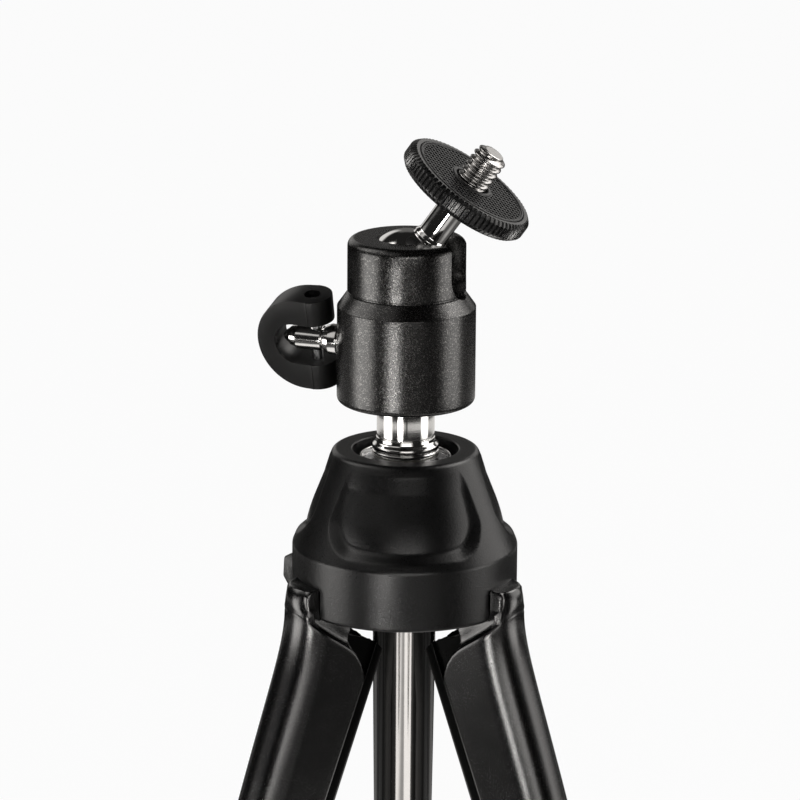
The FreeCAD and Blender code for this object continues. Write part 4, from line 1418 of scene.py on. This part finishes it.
@dataclass
class Leg(Assembly):
    """One leg, drawn hanging down from its pin: x outwards, y across."""

    number: int
    top: float = 7.0
    bottom: float = 98.0
    inner: float = -9.0
    corner: float = 1.0
    crown_top: float = 6.3
    crown_fall: float = 4.9
    crown_swell: float = 2.1
    crown_deep: float = 6.2
    crown_power: float = 0.91
    half_top: float = 6.05
    half_fall: float = 0.75
    shoulder_drop: float = 6.8
    shoulder_fall: float = 5.1
    shoulder_round: float = 6.0
    edge: float = 0.7
    fillet: float = 1.6
    tongue_front: float = 6.6
    tongue_back: float = -3.2
    tongue_half: float = 3.3
    tongue_soft: float = 0.9
    tongue_corner: float = 0.5
    eye_reach: float = 2.74
    eye_height: float = 1.85
    eye_fall: float = 0.973
    channel_half: float = 4.25
    liner_crest: float = -12.0
    liner_bore: float = 3.35
    liner_drops: tuple[float, ...] = (8.5, 12.0, 16.0, 22.0, 30.0, 60.0, 97.9)
    foot_top: float = -103.4
    foot_radius: float = 5.4

    @property
    def body(self) -> str:
        """The body that swings on the pin."""
        return "leg_%d" % self.number

    def share(self, drop: float) -> float:
        """Share of the shell's length that lies above a depth."""
        return max(0.0, drop - self.top) / (self.bottom - self.top)

    def crown(self, drop: float) -> float:
        """Distance of the shell's crown from the pin line at a depth."""
        return (self.crown_top - self.crown_fall * self.share(drop) ** 1.7
                + self.crown_swell * math.exp(-(drop - self.top) / 5.0))

    def half(self, drop: float) -> float:
        """Half width of the shell at a depth."""
        return self.half_top - self.half_fall * self.share(drop) ** 1.4

    def inner_side(self, start: Point, low: float, corner: float) -> list[Point]:
        """Straight side, rounded corner and inner face of half a cross-section.

        Args:
            start: (x, y) where the straight side begins.
            low: x of the inner face.
            corner: Radius of the corner.

        Returns:
            (x, y) points, down to the middle of the inner face.
        """
        front, half = start
        turns = [math.radians(15 * i) for i in range(1, 7)]
        return [*((front + (low + corner - front) * i / 6, half) for i in range(1, 7)),
                *((low + corner - corner * math.sin(a), half - corner * (1 - math.cos(a)))
                  for a in turns),
                *((low, (half - corner) * (1 - i / 4)) for i in range(1, 5))]

    def half_ring(self, drop: float, inset: float) -> list[Point]:
        """Cross-section of the shell from its crown to the middle of its inner face.

        Args:
            drop: Depth below the pin.
            inset: How far the section is drawn in, for a rounded edge.

        Returns:
            (x, y) points with y positive.
        """
        crown, half = self.crown(drop) - inset, self.half(drop) - inset
        points = []
        for angle in (math.radians(5 * i) for i in range(19)):
            round_in = abs(math.cos(angle)) ** self.crown_power
            round_out = math.sin(angle) ** self.crown_power
            points.append((crown - self.crown_deep * (1 - round_in), half * round_out))
        side = (crown - self.crown_deep, half)
        return points + self.inner_side(side, self.inner + inset, self.corner)

    def shoulder(self, x: float) -> float:
        """Depth of the shell's upper edge.

        Args:
            x: Distance from the pin line.

        Returns:
            The depth: a straight fall inwards that ends in a round corner.
        """
        outer = self.crown(self.top) + 1
        slope = self.shoulder_fall / (outer - self.inner)
        drop = self.shoulder_drop + slope * (outer - x)
        reach = x - self.inner
        if reach < self.shoulder_round:
            off = 1 - reach / self.shoulder_round
            drop += self.shoulder_round * (1 - math.sqrt(max(0.0, 1 - off ** 2)))
        return drop

    def tongue_ring(self, drop: float, inset: float) -> list[Point]:
        """Cross-section of the hinge tongue, point for point with the shell's.

        Args:
            drop: Depth below the pin.
            inset: How far the section is drawn in, for a rounded edge.

        Returns:
            (x, y) points with y positive.
        """
        share = min(1.0, max(0.0, (drop + 2.0) / (self.shoulder_drop + 2.0)))
        bend, flare, soft = share ** 2 * (3 - 2 * share), share ** 6, self.tongue_soft
        shell = self.half_ring(max(drop, 3.0), 0.0)[:10]
        wide = self.tongue_half / shell[-1][1]
        spread, front = wide + (1 - wide) * flare, self.tongue_front
        points = [(front + (x - front) * bend - inset, y * spread * (1 - inset / 4.2))
                  for x, y in shell]
        begin = 45.0 * flare
        turns = [math.radians(begin + (90 - begin) * i / 9) for i in range(10)]
        middle = (points[-1][0] - soft * math.cos(turns[0]),
                  points[-1][1] - soft * math.sin(turns[0]))
        points += [(middle[0] + soft * math.cos(a), middle[1] + soft * math.sin(a))
                   for a in turns[1:]]
        return points + self.inner_side(points[-1], self.tongue_back + inset, self.tongue_corner)

    def eye_top(self, x: float) -> float:
        """Height of the tongue's upper edge over the pin: round, then a straight fall."""
        return (math.sqrt(max(0.0, self.tongue_half ** 2 - x ** 2)) if x < self.eye_reach
                else self.eye_height - (x - self.eye_reach) * self.eye_fall)

    def tongue_rows(self, ledge: Sequence[Spot]) -> list[list[Spot]]:
        """Rows from the tongue's top down to the ledge at the shell's shoulder.

        Args:
            ledge: The inner edge of the shell's rounded shoulder.

        Returns:
            Rows of (x, y, z), the highest first.
        """
        foot = [self.tongue_ring(self.shoulder(x), 0.0)[index]
                for index, (x, _, _) in enumerate(ledge)]
        crest = self.tongue_ring(0.0, 0.0)
        edge = self.tongue_corner
        rows: list[list[Spot]] = []
        for angle in (math.radians(30 * step) for step in range(4)):
            row = []
            for (x0, y0, _), (x1, y1) in zip(ledge, foot):
                away = math.hypot(x0 - x1, y0 - y1)
                soft = min(self.fillet, away * 0.8)
                reach = soft * (1 - math.sin(angle)) / max(away, 1e-6)
                x, y = x1 + (x0 - x1) * reach, y1 + (y0 - y1) * reach
                row.append((x, y, -self.shoulder(x) + soft * (1 - math.cos(angle))))
            rows.append(row)
        low = [z for _, _, z in rows[-1]]
        for share in (step / 8 for step in range(1, 9)):
            row = []
            for index, bottom in enumerate(low):
                z = bottom + (self.eye_top(crest[index][0]) - edge - bottom) * share
                row.append((*self.tongue_ring(-z, 0.0)[index], z))
            rows.append(row)
        high = [z for _, _, z in rows[-1]]
        for angle in (math.radians(30 * step) for step in range(1, 4)):
            inset, rise = edge * (1 - math.cos(angle)), edge * math.sin(angle)
            rows.append([(*self.tongue_ring(-bottom, inset)[index], bottom + rise)
                         for index, bottom in enumerate(high)])
        return rows[::-1]

    def shell_rows(self) -> list[list[Spot]]:
        """Rows of half the shell, from its tongue's top to its lower end."""
        tops = [self.shoulder(x) for x, _ in self.half_ring(12.0, 0.0)]
        rows: list[list[Spot]] = []
        for angle in (math.radians(90 * step / 5) for step in range(6)):
            row = []
            for index, start in enumerate(tops):
                blend = min(1.0, max(0.0, (index - 9) / 4))
                drop = start + self.edge * (1 - math.cos(angle))
                inset = self.edge * (1 - math.sin(angle)) * blend
                row.append((*self.half_ring(drop, inset)[index], -drop))
            rows.append(row)
        rows = [*self.tongue_rows(rows[0]), *rows]
        for share in ((step / 46) ** 1.35 for step in range(1, 47)):
            row = []
            for index, start in enumerate(tops):
                drop = (start + self.edge) * (1 - share) + self.bottom * share
                row.append((*self.half_ring(drop, 0.0)[index], -drop))
            rows.append(row)
        return rows

    def shell(self) -> None:
        """The outer shell with its hinge tongue, closed at its shoulder and open inwards."""
        rings = [[*row, *((x, -y, z) for x, y, z in reversed(row[1:-1]))]
                 for row in self.shell_rows()]
        total = len(rings[0])
        faces = skin_faces(len(rings), total)
        for row in (0, len(rings) - 1):
            faces += [(row * total + i, row * total + i + 1, row * total + total - i - 1,
                       row * total + (total - i) % total) for i in range(total // 2)]
        mesh = mesh_of([point for ring in rings for point in ring], faces)
        inner, beyond = self.inner - 1, -self.bottom - 1
        floor = [(self.crown(drop) - 3.5, -drop, 0.0) for drop in (22.0, 49.0, 73.5, self.bottom)]
        channel = rounded([(inner, -14.0, 0), (floor[0][0] - 3, -14.0, 2.0), *floor,
                           (floor[-1][0], beyond, 0), (inner, beyond, 0)])
        neck = [(inner, -8.0), (-3.45, -8.0), (-3.45, -15.0), (inner, -15.0)]
        for outline in (channel, neck):
            mesh = combined(mesh, plate(outline, -self.channel_half, self.channel_half))
        self.install("leg_shell_body_%d" % self.number, mesh, LEG_PLASTIC, self.body,
                     "leg_shell_%d" % self.number, crease=38)

    def liner(self) -> None:
        """The channel strip, whose slot opens outwards from the tube."""
        bore, rest = self.liner_bore, -9.05
        side = rounded([(-9.95, -2.6, 0), (self.liner_crest, -3.85, 0.35), (-11.0, -4.7, 0.5),
                        (rest, -5.2, 0.15), (rest, -4.2, 0), (-3.0, -4.2, 0.3), (-3.0, 0.0, 0)],
                       closed=False, steps=4)[1:]
        rings = []
        for drop in self.liner_drops:
            half = 1.7 + 0.7 * min(1.0, (drop - 7.5) / 22.5)
            shut = math.asin(half / bore)
            arc = [math.pi - shut - (2 * math.pi - 2 * shut) * i / 32 for i in range(33)]
            ring = [*((self.stance.tube_x + bore * math.cos(a), bore * math.sin(a)) for a in arc),
                    *side, *((x, -y) for x, y in reversed(side[:-1]))]
            slant = 0.52 if drop == self.liner_drops[0] else 0.0
            rings.append([(x, y, -drop - max(0.0, rest - x) * slant) for x, y in ring])
        self.install("leg_liner_strip_%d" % self.number, skinned(rings), LINER_PLASTIC,
                     self.body, "leg_liner_%d" % self.number, crease=30)

    def foot(self) -> None:
        """The rubber foot with its grip rings, flat where it stands on the table."""
        top, low, wide, plug = self.foot_top, -self.stance.leg_reach, self.foot_radius, 2.8
        outline = rounded([(0, low - 3, 0), (wide, low - 3, 1.0), (wide, top - 6.5, 3.0),
                           (wide - 1.0, top, 0.6), (plug, top, 0.2), (plug, top - 1.5, 0),
                           (0, top - 1.5, 0)])
        rings = SunkRelief("foot_rings_%d" % self.number, Relief.RINGS, {
            "Pitch": 1.6, "Depth": 0.35, "Low": low + 2.2, "High": top - 3.0, "Fade": 0.8,
            "Core": 3.6})
        mesh = rings.applied(turned(resampled(outline, 0.3), 96),
                             FOOT_RUBBER.material(self.place))
        mesh.transform(move(self.stance.tube_x, 0, 0))
        level = self.place.matrix.inverted()
        up = (level.to_3x3() @ Vector((0, 0, 1))).normalized()
        work = bmesh.new()
        work.from_mesh(mesh)
        cut = bmesh.ops.bisect_plane(
            work, geom=[*work.verts, *work.edges, *work.faces], dist=WELD,
            plane_co=level @ Vector((0, 0, 0)), plane_no=up, clear_inner=True)
        rim = [e for e in cut["geom_cut"] if isinstance(e, bmesh.types.BMEdge)]
        bmesh.ops.edgenet_fill(work, edges=rim)
        bmesh.ops.recalc_face_normals(work, faces=work.faces)
        work.to_mesh(mesh)
        work.free()
        self.install("foot_grip_%d" % self.number, mesh, FOOT_RUBBER,
                     "extension_%d" % self.number, "foot_%d" % self.number)

    def build(self) -> None:
        """The shell, the liner, the foot and the solids that stay."""
        self.shell()
        self.liner()
        self.foot()
        for node, finish in (("upper_tube", TUBE_CHROME), ("leg_collar", LEG_PLASTIC),
                             ("lower_tube", TUBE_CHROME), ("tube_stop", DARK_ACETAL)):
            self.wear(finish, "%s_%d" % (node, self.number))


# Studio

@dataclass(frozen=True)
class Softbox:
    """One soft light, aimed at the head."""

    name: str
    azimuth: float
    elevation: float
    width: float
    height: float
    power: float
    distance: float = 0.8


@dataclass(frozen=True)
class Band:
    """A patch of light in the surroundings, which only reflections show.

    Low and high are heights in degrees in the sky, and distances in metres on the floor.
    """

    azimuth: float
    half: float
    soft: float
    gain: float
    low: float
    high: float
    fade: float


@dataclass(frozen=True)
class Studio:
    """The floor, the lights, the surroundings and the camera."""

    target: tuple[float, float, float] = (-0.0011, 0.0, 0.147)
    aim: tuple[float, float, float] = (0.0, 0.0, 0.15)
    distance: float = 0.882
    elevation: float = 15.3
    roll: float = 0.4
    lens: float = 211.5
    sensor: float = 36.0
    ambient: float = 0.07
    dusk: float = 0.014
    backdrop: float = 0.962
    floor_reach: float = 6.0
    floor_shine: float = 0.96
    floor_tone: Colour = (0.8, 0.8, 0.8)
    near_left: float = 0.62
    near_right: float = 0.70
    near_all: float = 0.24
    ring_gain: float = 0.72
    ring_gap: float = 3.5
    lights: tuple[Softbox, ...] = (Softbox("left_box", -88.0, 22.0, 0.45, 0.8, 1.0),
                                   Softbox("right_box", 104.0, 26.0, 0.30, 0.7, 1.1),
                                   Softbox("back_box", 150.0, 60.0, 0.40, 0.4, 0.9))
    floor_bands: tuple[Band, ...] = (Band(-76.0, 24.0, 14.0, 4.7, 0.34, 9.0, 0.05),
                                     Band(-21.0, 11.0, 7.0, 27.0, 0.42, 0.62, 0.04),
                                     Band(4.0, 26.0, 12.0, 3.6, 2.0, 9.0, 0.3),
                                     Band(16.0, 26.0, 10.0, 0.6, 0.22, 0.34, 0.03),
                                     Band(82.0, 22.0, 13.0, 3.4, 0.43, 9.0, 0.05))
    sky_bands: tuple[Band, ...] = (Band(-98.0, 28.0, 16.0, 2.4, 22.0, 62.0, 6.0),
                                   Band(-50.0, 34.0, 20.0, 0.6, 24.0, 66.0, 4.0),
                                   Band(4.0, 26.0, 12.0, 3.6, -8.0, 11.0, 4.0),
                                   Band(104.0, 34.0, 16.0, 2.0, 0.0, 26.0, 5.0),
                                   Band(110.0, 34.0, 16.0, 5.0, 28.0, 56.0, 6.0),
                                   Band(157.0, 17.0, 9.0, 0.85, 5.0, 32.0, 5.0),
                                   Band(-157.0, 19.0, 9.0, 0.75, 0.0, 28.0, 5.0),
                                   Band(180.0, 14.0, 6.0, 0.12, 0.0, 40.0, 6.0))

    def aimed(self, target: Sequence[float], azimuth: float, elevation: float,
              distance: float) -> Matrix:
        """Matrix of a camera or a lamp that looks at a target.

        Args:
            target: What it looks at.
            azimuth: Its side of the target: 0 is the camera's and 90 the camera's right.
            elevation: Its angle above the target.
            distance: How far away it is, in metres.

        Returns:
            The matrix.
        """
        a, e = math.radians(azimuth), math.radians(elevation)
        back = Vector((math.sin(a) * math.cos(e), -math.cos(a) * math.cos(e), math.sin(e)))
        look = (-back).to_track_quat("-Z", "Y").to_matrix().to_4x4()
        return Matrix.Translation(Vector(target) + back * distance) @ look

    def camera(self) -> None:
        """The camera, at the photograph's angle."""
        data = bpy.data.cameras.new("camera")
        data.lens, data.sensor_width = self.lens, self.sensor
        data.clip_start, data.clip_end = 0.01, 20.0
        camera = linked("camera", data)
        look = self.aimed(self.target, 0.0, self.elevation, self.distance)
        camera.matrix_world = look @ turn(self.roll)
        bpy.context.scene.camera = camera

    def banded(self, azimuth: Signal, height: Signal, bands: Sequence[Band]) -> Signal:
        """Light of the bands in one direction.

        Args:
            azimuth: Azimuth in radians.
            height: Degrees above the horizon, or metres from the middle of the floor.
            bands: The bands.

        Returns:
            Their summed strength.
        """
        level = azimuth * 0
        for band in bands:
            off = (azimuth - math.radians(band.azimuth)).alone("COSINE").alone("ARCCOSINE")
            edge = off.ramp(math.radians(band.half - band.soft), math.radians(band.half))
            rise = height.ramp(band.low - band.fade, band.low + band.fade)
            fall = height.ramp(band.high - band.fade, band.high + band.fade)
            level = level + (1 - edge) * band.gain * rise * (1 - fall)
        return level

    def rays(self, graph: Graph) -> tuple[Signal, Signal, Signal]:
        """Whether a ray sees the studio, whether it is a reflection, and the colour it meets.

        Args:
            graph: The tree that asks.

        Returns:
            The two answers, 0 or 1, and the colour: white when seen, warm in reflections.
        """
        path = graph.node("ShaderNodeLightPath")
        seen = path.out("Is Camera Ray").at_least(path.out("Is Transmission Ray"))
        return seen, path.out("Is Glossy Ray"), graph.mix(seen, WARM, WHITE)

    def near_light(self, azimuth: Signal, radius: Signal, x: Signal) -> Signal:
        """Light of the floor near the feet, and of the ring that the column mirrors.

        Args:
            azimuth: Azimuth in radians.
            radius: Metres from the middle of the floor.
            x: Metres to the right of the middle.

        Returns:
            Its strength.
        """
        sides = ((1 - x.ramp(-0.040, -0.010)) * self.near_left
                 + x.ramp(0.003, 0.008) * self.near_right + self.near_all)
        near = sides * (1 - radius.ramp(0.12, 0.16)) + (1 - radius.ramp(0.28, 0.36)) * 0.08
        ring = radius.ramp(0.455, 0.475) * (1 - radius.ramp(0.535, 0.56)) * self.ring_gain
        off = (azimuth - math.radians(self.ring_gap)).alone("ABSOLUTE")
        gap = 1 - off.ramp(math.radians(2.5), math.radians(6.5))
        return near + ring * (1 - gap * 0.75)

    def floor(self) -> None:
        """A pale floor that is white to the camera and keeps a soft shadow.

        Reflections show it dark, with the bands, a patch near the feet that is bright on the
        right, and the bright ring that the column mirrors.
        """
        mesh = bpy.data.meshes.new("studio_floor")
        corners = ((-1, -1), (1, -1), (1, 1), (-1, 1))
        mesh.from_pydata([(x * self.floor_reach, y * self.floor_reach, 0) for x, y in corners],
                         [], [(0, 1, 2, 3)])
        material = bpy.data.materials.new("studio_floor")
        material.use_nodes = True
        graph = Graph(material.node_tree)
        seen, glossy, colour = self.rays(graph)
        x, y, _ = graph.axes(graph.node("ShaderNodeTexCoord", out="Object"))
        radius = (x * x + y * y).alone("SQRT")
        azimuth = x.arctangent(y * -1)
        level = (self.dusk + self.banded(azimuth, radius, self.floor_bands)
                 + self.near_light(azimuth, radius, x))
        cloth = graph.node("ShaderNodeBsdfDiffuse", inputs={"Color": self.floor_tone})
        glow = graph.node("ShaderNodeEmission", inputs={"Color": colour,
                                                        "Strength": seen + glossy * level})
        share = (seen * self.floor_shine + glossy).at_most(1.0)
        surface = graph.node("ShaderNodeMixShader", inputs={0: share, 1: cloth, 2: glow})
        graph.node("ShaderNodeOutputMaterial", inputs={"Surface": surface})
        mesh.materials.append(material)
        floor = linked("studio_floor", mesh)

    def surroundings(self) -> None:
        """As pale as the floor to the camera, dark with bright bands in reflections."""
        world = bpy.data.worlds.new("studio")
        bpy.context.scene.world = world
        world.use_nodes = True
        graph = Graph(world.node_tree)
        seen, glossy, colour = self.rays(graph)
        x, y, z = graph.axes(graph.node("ShaderNodeTexCoord", out="Generated"))
        height = z.at_most(1.0).at_least(-1.0).alone("ARCSINE") * (180 / math.pi)
        level = self.dusk + self.banded(x.arctangent(y * -1), height, self.sky_bands)
        unseen = glossy * level + (1 - glossy) * self.ambient
        strength = seen * self.backdrop + (1 - seen) * unseen
        back = graph.node("ShaderNodeBackground", inputs={"Color": colour, "Strength": strength})
        graph.node("ShaderNodeOutputWorld", inputs={"Surface": back})

    def softboxes(self) -> None:
        """The soft lights, which shape the plastics but leave the reflections to the bands."""
        for box in self.lights:
            data = bpy.data.lights.new(box.name, "AREA")
            data.shape, data.size, data.size_y = "RECTANGLE", box.width, box.height
            data.energy = box.power
            light = linked(box.name, data)
            light.matrix_world = self.aimed(self.aim, box.azimuth, box.elevation, box.distance)
            light.visible_glossy = False

    def build(self) -> None:
        """Everything round the tripod."""
        bpy.context.scene.view_settings.view_transform = "Standard"
        self.camera()
        self.floor()
        self.surroundings()
        self.softboxes()


def main() -> None:
    """Build the studio and the tripod."""
    logging.basicConfig(level=logging.INFO, format="%(message)s", stream=sys.stdout)
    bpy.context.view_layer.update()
    stance = Stance()
    Studio().build()
    Hub(stance, stance.hub()).build()
    Head(stance, stance.head()).build()
    Platform(stance, stance.ball()).build()
    Lock(stance, stance.spindle()).build()
    for number in (1, 2, 3):
        Leg(stance, stance.leg(number), number).build()


if __name__ == "__main__":
    main()
